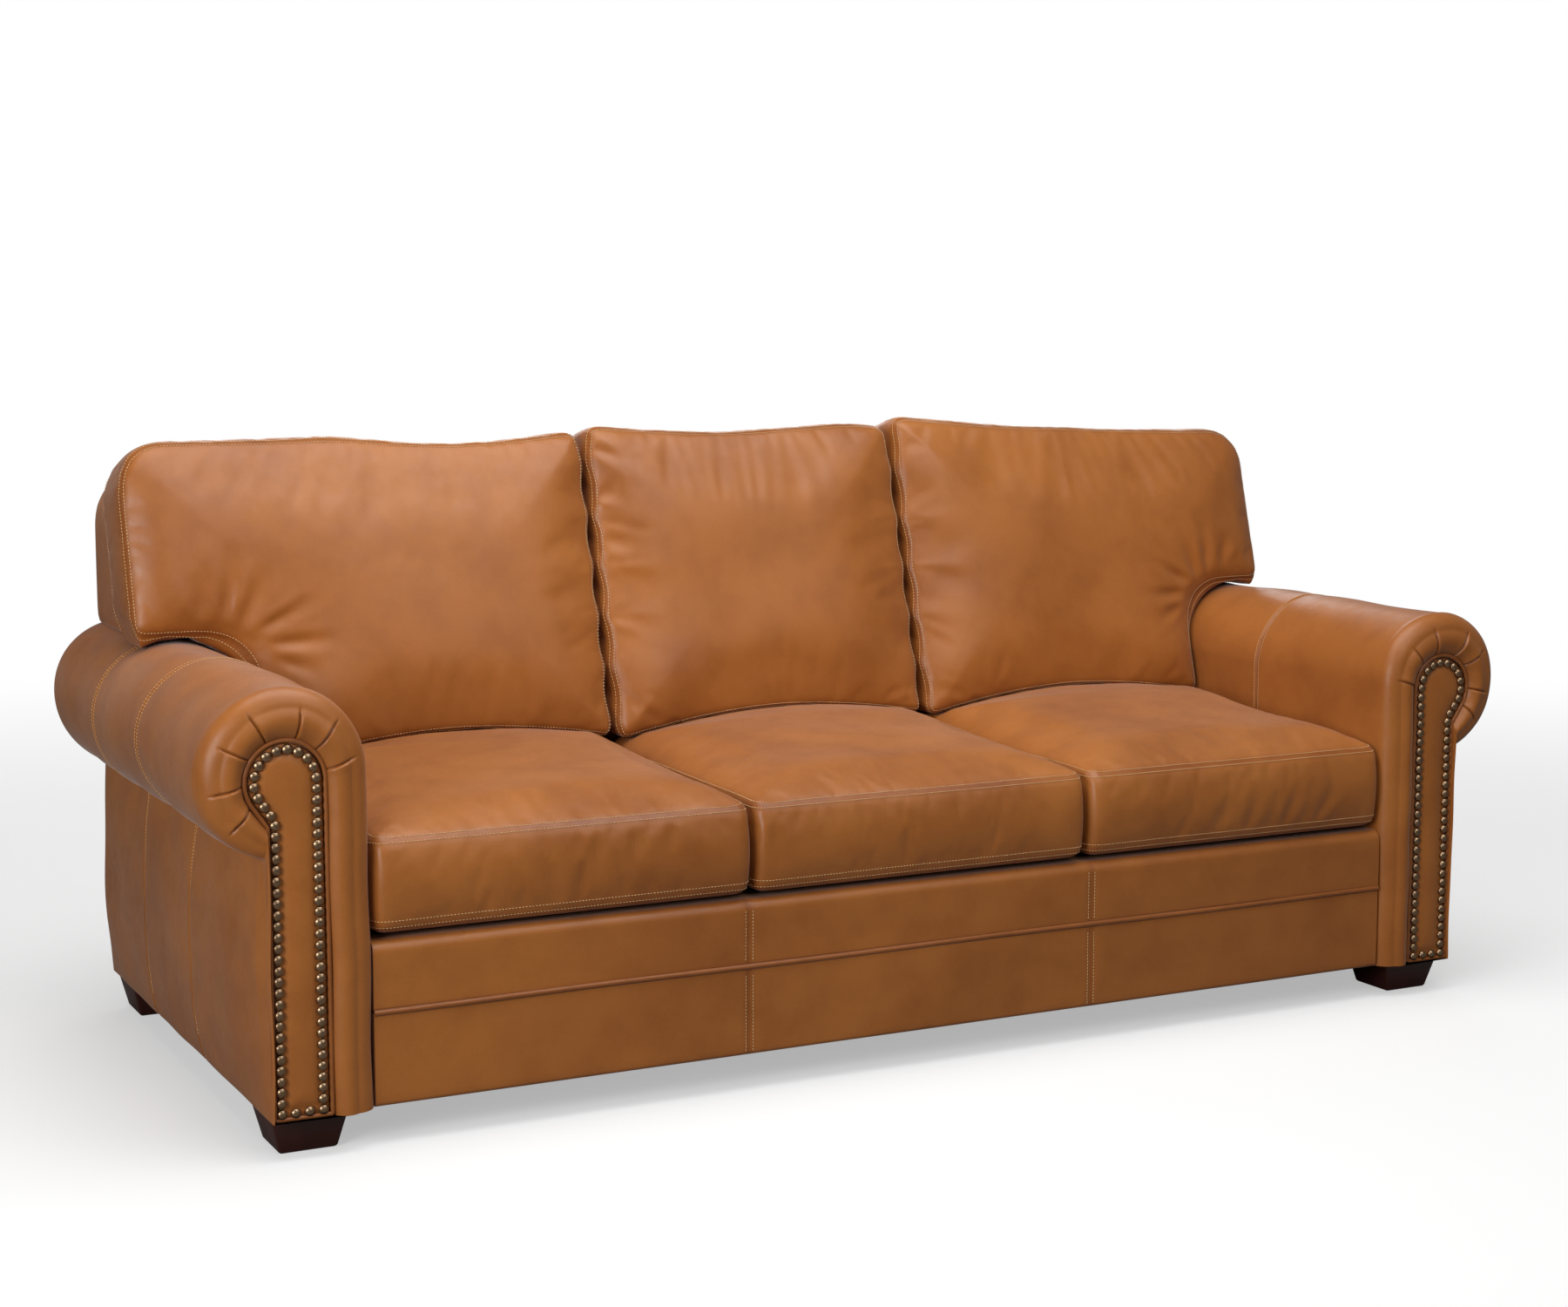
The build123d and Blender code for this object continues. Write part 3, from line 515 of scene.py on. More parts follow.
# %% [markdown]
# ## The rolled arms
# Each arm is one leather skin: up the inner face, over the roll, and down the outer side. At the front it
# turns over a padded edge and is gathered in pleats to the arched panel. The outline is walked once, from
# the bottom of the inner face round to the bottom of the outer side, and each of its points is matched
# with a point of the panel's edge, so the front is woven between the two.


# %% Outlines of an arm and of its front panel
def spaced(a, b, count, last=False):
    t = np.linspace(0, 1, count, endpoint=last)[:, None]
    return np.asarray(a) + (np.asarray(b) - np.asarray(a)) * t


def arc(centre, radius, start, end, count, last=False):
    t = np.radians(np.linspace(start, end, count, endpoint=last))
    return np.stack([centre[0] + radius * np.cos(t), centre[1] + radius * np.sin(t)], axis=1)


UNDER = -math.degrees(math.acos((ARM_OUT - ROLL_X) / ROLL))
UNDER_Z = ROLL_Z + ROLL * math.sin(math.radians(UNDER))
NECK = 35.0
shoulder = (ROLL_X + ARCH * math.cos(math.radians(NECK)), ARCH_Z - ARCH * math.sin(math.radians(NECK)))
PANEL_OUT = ARM_OUT - 0.003
neck_z = shoulder[1] - (shoulder[0] - PANEL_OUT) / math.tan(math.radians(NECK))
A_COLS, B_COLS, N_COLS, D_COLS = 70, 330, 44, 60


def arm_outline(radius=ROLL, inset=0.0):
    low = FLOOR_GAP + inset
    join = ROLL_Z + radius * math.sin(math.radians(UNDER))
    turn = 180 - (180 - UNDER) * B_COLS / (B_COLS + N_COLS)
    return np.concatenate([
        spaced((ARM_IN + inset, low), (ARM_IN + inset, ROLL_Z), A_COLS),
        arc((ROLL_X, ROLL_Z), radius, 180, turn, B_COLS),
        arc((ROLL_X, ROLL_Z), radius, turn, UNDER, N_COLS),
        spaced((ARM_OUT - inset, join - 0.002), (ARM_OUT - inset, low), D_COLS, True),
    ])


def panel_outline(inset=0.0, low=FLOOR_GAP):
    edge, outer = ARCH - inset, PANEL_OUT - inset
    inner = ROLL_X - edge
    turned = math.radians(NECK)
    arch_end = (ROLL_X + edge * math.cos(turned), ARCH_Z - edge * math.sin(turned))
    return np.concatenate([
        spaced((inner, low), (inner, ARCH_Z), A_COLS),
        arc((ROLL_X, ARCH_Z), edge, 180, -NECK, B_COLS),
        spaced(arch_end, (outer, neck_z), N_COLS),
        spaced((outer, neck_z), (outer, low), D_COLS, True),
    ])


COLS = len(arm_outline())
print("arm outline has", COLS, "columns; panel neck at", round(neck_z, 3))

# %% [markdown]
# The skin isn't a perfect tube. Its two cross seams draw it in, it fills out between them, and the outer
# side is stuffed so that it swells between its edges. The pleats are short ridges that fan out from the
# arch and fade as they turn over the edge of the roll.

# %% Arm cover
ARM_SEAMS = (FRONT + 0.365, FRONT + 0.655)
PLEATS = (10, 47, 80, 122, 152, 191, 226)
EDGE = 0.028
ARM_REAR = arm_high.y


def arm_rows():
    """y of each row from the rear to where the front edge starts to turn, closer where the shape is finer."""
    rows = [ARM_REAR - d for d in (0.0, 0.0015, 0.004, 0.008, 0.013, 0.02, 0.028, 0.037)]
    rows += list(np.arange(ARM_REAR - 0.05, FRONT + EDGE + 0.09, -0.014))
    rows += list(np.arange(FRONT + EDGE + 0.085, FRONT + EDGE, -0.0045))
    for seam in ARM_SEAMS:
        rows = [y for y in rows if abs(y - seam) > 0.012] + list(seam + np.linspace(-0.0105, 0.0105, 11))
    return np.array(sorted(rows, reverse=True))


def pleat_shape(gap, wide):
    """A gathered fold across its width: a narrow tuck, with the leather heaped up on one side of it."""
    lip = np.where(gap > 0, gap / (2.2 * wide) * np.exp(1 - gap / (2.2 * wide)), 0)
    return np.exp(-((gap / wide) ** 2)) - 0.42 * lip


def build_arm(side):
    outline = arm_outline()
    outline_in = panel_outline()
    angle = np.degrees(np.arctan2(outline[:, 1] - ROLL_Z, outline[:, 0] - ROLL_X))
    on_roll, on_side, on_face = np.zeros(COLS), np.zeros(COLS), np.zeros(COLS)
    on_roll[A_COLS:A_COLS + B_COLS + N_COLS] = 1
    on_side[-D_COLS:] = 1
    on_face[:A_COLS] = 1
    way = np.gradient(outline, axis=0)
    way /= np.linalg.norm(way, axis=1)[:, None]
    out = np.stack([-way[:, 1], way[:, 0]], axis=1)
    out[on_side > 0] = (1, 0)
    out[on_face > 0] = (-1, 0)
    high = np.clip((outline[:, 1] - FLOOR_GAP) / (UNDER_Z - FLOOR_GAP), 0, 1)
    beyond = np.clip((outline[:, 0] - ROLL_X) / (ARM_OUT - ROLL_X), 0, 1) * on_roll
    column = np.arange(COLS)
    eased = on_roll * np.clip(np.minimum(column - A_COLS, A_COLS + B_COLS + N_COLS - column) / 60, 0, 1)
    rows, marks, ys = [], [], arm_rows()
    for y in ys:
        near = sum(bump_at(y, s, 0.0034) for s in ARM_SEAMS)
        waist = sum(bump_at(y, s, 0.05) for s in ARM_SEAMS)
        swell = on_side * 0.019 * np.sin(math.pi * high) ** 0.6
        swell = swell * np.clip((y - FRONT) / 0.16, 0, 1) ** 0.5 * np.clip((ARM_REAR - y) / 0.05, 0.0, 1) ** 0.5
        fill = eased * (0.0022 * np.cos((y - FRONT) * 12 + angle / 40) - 0.0012 * waist)
        end = max(1 - (ARM_REAR - y) / 0.045, 0)
        tuck = 0.030 * beyond * (1 - math.sqrt(max(1 - end * end, 0)))
        move = swell + fill - tuck - near * 0.0034 * (1 - 0.3 * on_side)
        shape = outline + out * move[:, None]
        rows.append(np.column_stack([shape[:, 0], np.full(COLS, y), shape[:, 1]]))
        marks.append(np.full(COLS, near))
    across = outline_in - outline
    width = np.linalg.norm(across, axis=1)
    aim = across / (width[:, None] + 1e-9)
    steps = 34
    turn = np.minimum(EDGE, np.maximum(width * 0.45, 0.0015))
    for k in range(1, steps + 1):
        t = k / steps
        a = min(t / 0.4, 1.0) * math.pi / 2
        u = max((t - 0.4) / 0.6, 0.0)
        inward = turn * (1 - math.cos(a)) + (width - turn) * u
        puff = 0.006 * np.clip(width / 0.06, 0, 1) * math.sin(math.pi * min(u * 1.02, 1)) ** 0.8
        y = FRONT + turn - turn * math.sin(a) - puff + (PANEL_Y + 0.003 - FRONT) * u ** 3
        shape = outline + aim * inward[:, None]
        rows.append(np.column_stack([shape[:, 0], y, shape[:, 1]]))
        marks.append(np.full(COLS, 0.9 * max(0.0, (t - 0.88) / 0.12)))
    grid, near = np.array(rows), np.array(marks)
    total = len(ys) + steps
    bend = np.zeros((total, COLS))
    rng = np.random.default_rng(11 if side > 0 else 5)
    gathered = on_roll + on_face * (outline[:, 1] > ROLL_Z - 0.03)
    for pleat in PLEATS:
        gap = ((180 - angle) % 360 - pleat - rng.uniform(-3, 3) + 180) % 360 - 180
        gap = gap * rng.choice((-1, 1))
        reach, deep = rng.uniform(0.20, 0.36), rng.uniform(0.85, 1.1)
        for r in range(len(ys), total):
            t = (r - len(ys) + 1) / steps
            fade = np.clip((t - reach) / 0.16, 0, 1) * deep
            bend[r] += pleat_shape(gap, 0.75 + 0.9 * t) * fade * gathered
    depth = 0.0034
    for r in range(len(ys), total):
        t = (r - len(ys) + 1) / steps
        level = math.sin(min(t / 0.4, 1) * math.pi / 2)
        keep = 1 - max(0, (t - 0.94) / 0.06)
        grid[r, :, 1] += bend[r] * depth * level * keep
        grid[r, :, 0] -= out[:, 0] * bend[r] * depth * (1 - level)
        grid[r, :, 2] -= out[:, 1] * bend[r] * depth * (1 - level)
        # The pleats are also darkened through the seam mark: this is painted shade in their folds.
        near[r] = np.maximum(near[r], np.clip(bend[r], 0, 1) * 1.3)
    co = grid.reshape(-1, 3)
    soft = ripple(co, 0.16, 3 + side) * 0.0011
    co = co + np.column_stack([np.tile(out[:, 0], total) * soft, np.zeros(len(co)), np.tile(out[:, 1], total) * soft])
    rear_ring = co[:COLS].copy()
    rear_ring[:, [0, 2]] -= out * 0.006
    co[:COLS, 1] = ARM_REAR - 0.006
    co[COLS:2 * COLS, 1] = ARM_REAR - 0.0065
    front_ring = co[(total - 1) * COLS:total * COLS].copy()
    front_ring[:, 1] = PANEL_Y + 0.012
    base = total * COLS
    tail = base + COLS
    last = (total - 1) * COLS
    co = np.concatenate([co, rear_ring, front_ring])
    faces = grid_faces(total, COLS)
    faces += [(base + c + 1, base + c, c, c + 1) for c in range(COLS - 1)]
    faces.append(tuple(range(base, base + COLS)))
    faces += [(r * COLS, (r + 1) * COLS, (r + 2) * COLS - 1, (r + 1) * COLS - 1) for r in range(total - 1)]
    faces.append((0, COLS - 1, base + COLS - 1, base))
    faces += [(last + c, last + c + 1, tail + c + 1, tail + c) for c in range(COLS - 1)]
    faces.append((last + COLS - 1, last, tail, tail + COLS - 1))
    faces.append(tuple(tail + c for c in reversed(range(COLS))))
    if side < 0:
        co = mirrored(co)
    name = "right_arm_leather" if side > 0 else "left_arm_leather"
    piece = mesh_piece(name, co, faces)
    # This mark holds the seams and the painted shade in the pleats.
    seam_and_crease_shade_mark(piece, np.concatenate([near.reshape(-1), np.zeros(2 * COLS)]))
    outward(piece)
    smooth(piece, 55)
    dress(piece, TAN)
    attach(piece, "sofa")
    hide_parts("right_arm_cover" if side > 0 else "left_arm_cover")
    return piece


arms = {side: build_arm(side) for side in (-1, 1)}
print("arm faces", {s: len(a.data.polygons) for s, a in arms.items()})


# %% Arm seams
def sew_arm(side):
    tree = surface(arms[side])
    outline = arm_outline()
    rows = []
    for seam in ARM_SEAMS:
        for off in BESIDE_SEAM:
            line = np.column_stack([outline[:, 0], np.full(COLS, seam + off), outline[:, 1]])
            if side < 0:
                line = mirrored(line)
            rows.append(drop(tree, evenly(line[4:-6], 0.003)))
    piece = sew("right_arm_stitches" if side > 0 else "left_arm_stitches", rows)
    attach(piece, "sofa")


for side in (-1, 1):
    sew_arm(side)

# %% [markdown]
# ## Front panels, welts and nails
# The arched panel is a thin padded board covered in the same hide. A welt, which is a cord wrapped in a
# strip of leather, hides its edge, and domed brass nails are driven in a row just inside it. The welt is a
# curve with a round bevel, and one nail head is a ball pressed into a low dome and copied to each place.


# %% Arm panels
def filled(name, loop, y_front, y_back, puff, voxel=0.004):
    """A flat padded piece with a closed outline in x and z, remeshed to even squares and puffed forward."""
    count = len(loop)
    front = np.column_stack([loop[:, 0], np.full(count, y_front), loop[:, 1]])
    back = np.column_stack([loop[:, 0], np.full(count, y_back), loop[:, 1]])
    faces = [tuple(range(count)), tuple(count + c for c in reversed(range(count)))]
    faces += [(c, count + c, count + (c + 1) % count, (c + 1) % count) for c in range(count)]
    piece = mesh_piece(name, np.concatenate([front, back]), faces)
    outward(piece)
    keep_modifier(piece, "REMESH", mode="VOXEL", voxel_size=voxel)
    co = points(piece)
    inside = edge_distance(co[:, [0, 2]], loop)
    is_front = co[:, 1] < (y_front + y_back) / 2
    co[:, 1] -= np.where(is_front, puff(inside), 0)
    place(piece, co)
    seam_and_crease_shade_mark(piece, np.exp(-((inside / 0.006) ** 2)))
    return piece


def edge_distance(spots, loop):
    """Distance of each place in a plane from a closed outline."""
    a = np.asarray(loop, float)
    b = np.roll(a, -1, axis=0)
    best = np.full(len(spots), 1e9)
    for p, q in zip(a, b):
        side = q - p
        size = side @ side
        if size < 1e-14:
            continue
        t = np.clip(((spots - p) @ side) / size, 0, 1)
        near = p + t[:, None] * side
        best = np.minimum(best, ((spots - near) ** 2).sum(axis=1))
    return np.sqrt(best)


NAIL_IN = 0.014


def panel_puff(inside):
    rise = 0.0035 * (1 - np.exp(-inside / 0.010))
    valley = 0.0016 * bump_at(inside, NAIL_IN, 0.004)
    return rise - valley + 0.003 * (1 - np.exp(-(np.clip(inside - NAIL_IN - 0.004, 0, 1) / 0.010)))


def build_panel(side):
    loop = panel_outline(0.004, FLOOR_GAP + 0.002)
    if side < 0:
        loop = loop * (-1, 1)
    name = "right_panel_leather" if side > 0 else "left_panel_leather"
    piece = filled(name, loop, PANEL_Y + 0.003, PANEL_Y + 0.0095, panel_puff)
    smooth(piece, 50)
    dress(piece, TAN)
    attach(piece, "sofa")
    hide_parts("right_arm_panel" if side > 0 else "left_arm_panel")
    return piece


panels = {side: build_panel(side) for side in (-1, 1)}


# %% Welts
def welt(name, line, radius, closed=False):
    curve = bpy.data.curves.new(name, "CURVE")
    curve.dimensions = "3D"
    curve.bevel_depth = radius
    curve.bevel_resolution = 3
    spline = curve.splines.new("POLY")
    spline.points.add(len(line) - 1)
    for point, p in zip(spline.points, line):
        point.co = (*p, 1)
    spline.use_cyclic_u = closed
    holder = bpy.data.objects.new(name + "_line", curve)
    bpy.context.scene.collection.objects.link(holder)
    bpy.context.view_layer.update()
    mesh = bpy.data.meshes.new_from_object(holder)
    bpy.data.objects.remove(holder)
    mesh.name = name
    mesh.materials.clear()
    piece = bpy.data.objects.new(name, mesh)
    bpy.context.scene.collection.objects.link(piece)
    for face in mesh.polygons:
        face.use_smooth = True
    dress(piece, WELT_LEATHER)
    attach(piece, "sofa")
    return piece


def panel_welt_line(side):
    loop = panel_outline(0.001, FLOOR_GAP + 0.003)
    line = np.column_stack([loop[:, 0], np.full(COLS, PANEL_Y + 0.0005), loop[:, 1]])
    foot = np.array([[loop[0][0], PANEL_Y + 0.0005, FLOOR_GAP + 0.003]])
    line = np.concatenate([line, foot])
    return mirrored(line) if side < 0 else line


welt("left_arm_welt_leather", evenly(panel_welt_line(-1), 0.004), 0.0034)
right_welt = welt("right_arm_welt_leather", evenly(panel_welt_line(1), 0.004), 0.0034)
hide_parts("arm_welts")
print("welt points", len(right_welt.data.vertices))


# %% Brass nails
def nail_head():
    """A small ball pressed into a low dome, about 15 mm across."""
    bpy.ops.object.select_all(action="DESELECT")
    bpy.ops.mesh.primitive_uv_sphere_add(segments=16, ring_count=9, radius=0.0077)
    piece = bpy.context.object
    co = points(piece)
    co[:, 2] = np.where(co[:, 2] > 0, co[:, 2] * 0.68 + 0.0004, co[:, 2] * 0.12)
    place(piece, np.column_stack([co[:, 0], -co[:, 2], co[:, 1]]))
    return piece


def nail_spots():
    """Evenly spaced round the panel, inside its edge, with two more between the lowest pair."""
    low = FLOOR_GAP + 0.011
    inner = ROLL_X - ARCH + NAIL_IN
    r = ARCH - NAIL_IN
    sn, cs = math.sin(math.radians(NECK)), math.cos(math.radians(NECK))
    top = (ROLL_X + r * cs, ARCH_Z - r * sn)
    neck = (ARM_OUT - NAIL_IN, top[1] - (top[0] - (ARM_OUT - NAIL_IN)) * cs / sn)
    line = np.concatenate([
        spaced((ARM_OUT - NAIL_IN, low), neck, 40),
        spaced(neck, top, 10),
        arc((ROLL_X, ARCH_Z), r, -NECK, 180, 60),
        spaced((inner, ARCH_Z), (inner, low), 40, True),
    ])
    line = np.column_stack([line[:, 0], np.zeros(len(line)), line[:, 1]])
    spots = evenly(line, 0.0156)
    between = [spots[0] + (spots[-1] - spots[0]) * k / 3 for k in (1, 2)]
    return np.concatenate([spots, between])


def nail_rows():
    head = nail_head()
    shape = points(head)
    polys = [tuple(p.vertices) for p in head.data.polygons]
    bpy.data.objects.remove(head)
    co, faces = [], []
    for side in (-1, 1):
        tree = surface(panels[side])
        rng = np.random.default_rng(21 + side)
        for spot in nail_spots():
            at = Vector((spot[0] * side, PANEL_Y - 0.05, spot[2]))
            hit, normal, _, _ = tree.ray_cast(at, Vector((0, 1, 0)), 0.1)
            at = np.array(hit if hit is not None else (at.x, PANEL_Y, at.z)) - (0, 0.0013, 0)
            size = rng.uniform(0.97, 1.03)
            base = len(co)
            co.extend(shape * size + at + rng.normal(0, 0.00018, 3))
            faces.extend(tuple(base + v for v in f) for f in polys)
    piece = mesh_piece("brass_nail_heads", co, faces)
    for face in piece.data.polygons:
        face.use_smooth = True
    dress(piece, BRASS)
    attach(piece, "sofa")
    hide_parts("arm_nails")
    return piece


nail_rows()
print("nails", len(nail_spots()), "on each arm")

# %% [markdown]
# ## Front bands
# Below the seat cushions the frame is covered by two long bands with a welt between them. Each band is
# pieced from three hides, joined by two upright seams that stand under the gaps between the cushions.
# The leather is stretched over soft padding, so the bands swell a little between their edges.

# %% Band covers
BAND_SEAMS = (-0.309, 0.309)
BAND_Y = band_low.y
WELT_Z = (band_low.z + hem_high.z) / 2


def build_band(name, profile, node, seed):
    """profile is the band's section as (y, z) from its lower tuck to its upper one."""
    half = ARM_IN - 0.0012
    xs = np.linspace(-half, half, 261)
    profile = np.asarray(profile)
    rows, marks = [], []
    count = len(profile)
    t = np.linspace(0, 1, count)
    for x in xs:
        near = sum(bump_at(x, s, 0.0042) for s in BAND_SEAMS)
        pull = near * 0.0028 * np.sin(math.pi * np.clip(t * 1.1 - 0.05, 0, 1)) ** 0.3
        rows.append(np.column_stack([np.full(count, x), profile[:, 0] + pull, profile[:, 1]]))
        marks.append(np.full(count, near))
    co = np.array(rows).reshape(-1, 3)
    swell = np.tile(np.sin(math.pi * t) ** 0.7, len(xs))
    co[:, 1] -= swell * (0.0016 + 0.0014 * ripple(co, 0.32, seed))
    edge = np.tile(np.exp(-((np.minimum(t, 1 - t) / 0.05) ** 2)), len(xs)) * 0.4
    deep = np.column_stack([co[:, 0], np.full(len(co), BAND_Y + 0.035), co[:, 2]])
    faces = grid_faces(len(xs), count)
    base = len(co)
    co = np.concatenate([co, deep])
    faces += [tuple(base + v for v in reversed(f)) for f in grid_faces(len(xs), count)]
    rim = [r * count for r in range(len(xs))]
    rim += [(len(xs) - 1) * count + c for c in range(1, count)]
    rim += [r * count + count - 1 for r in reversed(range(len(xs) - 1))]
    rim += [c for c in reversed(range(1, count - 1))]
    faces += edge_faces(rim, base)
    piece = mesh_piece(name, co, faces)
    seam_and_crease_shade_mark(piece, np.concatenate([np.maximum(np.array(marks).reshape(-1), edge), np.zeros(base)]))
    outward(piece)
    smooth(piece, 50)
    dress(piece, TAN)
    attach(piece, "sofa")
    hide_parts(node)
    return piece


def band_profile(low, high, low_round, high_round):
    face = BAND_Y + 0.001
    parts = [arc((face + low_round, low + low_round), low_round, 270, 180, 7)]
    parts.append(spaced((face, low + low_round), (face, high - high_round), 16))
    parts.append(arc((face + high_round, high - high_round), high_round, 180, 90, 8, True))
    return np.concatenate(parts)


upper_profile = band_profile(WELT_Z + 0.002, band_high.z, 0.004, 0.016)
lower_profile = band_profile(FLOOR_GAP, WELT_Z - 0.002, 0.007, 0.004)
upper = build_band("upper_band_leather", upper_profile, "front_upper_band", 4)
lower = build_band("lower_band_leather", lower_profile, "front_lower_band", 9)
welt_x = np.linspace(-ARM_IN + 0.001, ARM_IN - 0.001, 300)
welt_line = np.column_stack([welt_x, np.full(300, BAND_Y + 0.0005), WELT_Z + 0.0008 * np.sin(welt_x * 9)])
band_welt = welt("front_welt_leather", welt_line, 0.0042)
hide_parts("front_welt")


# %% Band seams
def sew_bands():
    rows = []
    for band, low, high in ((upper, WELT_Z + 0.009, band_high.z - 0.012), (lower, FLOOR_GAP + 0.006, WELT_Z - 0.009)):
        tree = surface(band)
        for seam in BAND_SEAMS:
            for off in BESIDE_SEAM:
                line = np.array([(seam + off, BAND_Y - 0.03, z) for z in np.arange(low, high, 0.003)])
                rows.append(drop(tree, line, (0, 1, 0)))
    piece = sew("front_band_stitches", rows)
    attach(piece, "sofa")


sew_bands()
print("bands sewn")

# %% [markdown]
# ## Cushions
# A boxed cushion has two panels and a strip, or boxing, sewn round between them, and foam that pushes all
# of them out. The shape starts as a slab with the panel's outline, cut into even squares by the remesh.
# Its panels are crowned by how far each point is from the edge. Then a short cloth simulation with air
# pressure lets the leather find its own creases, while the sewn edges are held still, as a seam would
# hold them. The seams are pressed in after that, because they are finer than the squares.


# %% Shaping a boxed cushion
def soften(loop, radii):
    """Rounds the corners of an outline. radii gives one radius per corner."""
    made = []
    count = len(loop)
    loop = np.asarray(loop, float)
    for k in range(count):
        p, a, b = loop[k], loop[k - 1], loop[(k + 1) % count]
        r = radii[k]
        u, v = (a - p) / np.linalg.norm(a - p), (b - p) / np.linalg.norm(b - p)
        half = math.acos(np.clip(u @ v, -1, 1)) / 2
        cut = r / math.tan(half)
        for t in np.linspace(0, 1, 9):
            made.append((1 - t) ** 2 * (p + u * cut) + 2 * t * (1 - t) * p + t * t * (p + v * cut))
    made.append(made[0])
    return evenly(np.column_stack([*np.array(made).T, np.zeros(len(made))]), 0.008)[:-1, :2]


def through(x, knots, soft=0.12):
    """A smooth curve past a few (across, height) places."""
    xs, ys = np.array(knots).T
    return np.mean([np.interp(x + d, xs, ys) for d in np.linspace(-soft, soft, 9)], axis=0)


def slab(name, loop, low, high, voxel):
    """Closed slab over an outline in its first two axes, from low to high in the third."""
    count = len(loop)
    co = np.concatenate([np.column_stack([loop, np.full(count, z)]) for z in (low, high)])
    faces = [tuple(range(count)), tuple(count + c for c in reversed(range(count)))]
    faces += [(c, count + c, count + (c + 1) % count, (c + 1) % count) for c in range(count)]
    piece = mesh_piece(name, co, faces)
    outward(piece)
    keep_modifier(piece, "REMESH", mode="VOXEL", voxel_size=voxel)
    return piece


def crown(inside, height, reach):
    return height * (1 - np.exp(-inside / reach))


def puff(piece, pinned, pressure, cap, slack, frames=14):
    """Cloth under air pressure, with the pinned points held. No point moves further than cap."""
    before = points(piece)
    group = piece.vertex_groups.new(name="sewn")
    group.add([int(i) for i in np.nonzero(pinned)[0]], 1.0, "REPLACE")
    cloth = piece.modifiers.new("Cloth", "CLOTH")
    cloth.settings.quality = 4
    cloth.settings.mass = 0.35
    cloth.settings.tension_stiffness = cloth.settings.compression_stiffness = 18
    cloth.settings.bending_stiffness = 1.6
    cloth.settings.use_pressure = True
    cloth.settings.uniform_pressure_force = pressure
    cloth.settings.shrink_min = -slack
    cloth.settings.vertex_group_mass = group.name
    cloth.settings.effector_weights.gravity = 0
    cloth.point_cache.frame_start, cloth.point_cache.frame_end = 1, frames
    for number in range(1, frames + 1):
        bpy.context.scene.frame_set(number)
    alone(piece)
    bpy.ops.object.modifier_apply(modifier=cloth.name)
    bpy.context.scene.frame_set(1)
    piece.vertex_groups.clear()
    move = points(piece) - before
    size = np.linalg.norm(move, axis=1)
    held = cap * np.tanh(size / cap) / np.maximum(size, 1e-9)
    place(piece, before + move * held[:, None])
    return float(size.max())


def press(piece, lines, width, depth):
    """Presses creases in along lines, each (start, end), deepest near its start. Points move along the normal."""
    co, no = points(piece), normals(piece)
    move = np.zeros(len(co))
    for start, end in lines:
        start, end = np.array(start), np.array(end)
        way = end - start
        t = np.clip(((co - start) @ way) / (way @ way), 0, 1)
        gap = np.linalg.norm(co - (start + t[:, None] * way), axis=1)
        spread = width * (0.6 + 0.9 * t)
        fade = np.minimum(t / 0.14, 1) * (1 - t) ** 0.9
        move += fade * (np.exp(-((gap / spread) ** 2)) - 0.35 * np.exp(-(((gap - 2.1 * spread) / spread) ** 2)))
    place(piece, co - no * (move * depth)[:, None])


def core(piece, name, node):
    """The foam or fill inside a cushion: the same shape, drawn in by the thickness of the cover."""
    inner = piece.copy()
    inner.data = piece.data.copy()
    inner.name = inner.data.name = name
    bpy.context.scene.collection.objects.link(inner)
    place(inner, points(inner) - normals(inner) * 0.011)
    keep_modifier(inner, "REMESH", mode="VOXEL", voxel_size=0.015)
    smooth(inner, 60)
    dress(inner, FOAM)
    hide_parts(node)
    return inner


print("cushion tools ready")

# %% [markdown]
# ## Seat cushions
# A seat cushion is a firm foam block. Its top rises from a sewn front edge to a crown that runs back under
# the back cushion, which is arched to sit on it. The front boxing bulges between its two double seams.

# %% Build the seat cushions
SEAT_LOW, SEAT_SEAM = seat_low.z + 0.009, 0.440
SEAT_FRONT, SEAT_REAR = seat_low.y, seat_high.y
SEAT_HALF = (seat_high.x - seat_low.x) / 2
VOXEL = 0.0072


def seat_loop(margin=0.0):
    half = SEAT_HALF - 0.004 - margin
    y0, y1 = SEAT_FRONT + 0.012 + margin, SEAT_REAR - 0.004 - margin
    return soften([(-half, y0), (half, y0), (half, y1), (-half, y1)], [0.022, 0.022, 0.03, 0.03])


BACK_FRONT = FRONT + 0.527
ARCH_UP = 0.034


def under_back(x):
    """Height of the lower edge of a back cushion, across its width."""
    return back_low.z - 0.012 + ARCH_UP * np.clip(1 - np.abs(x / SEAT_HALF - 0.06) ** 1.8, 0, 1)


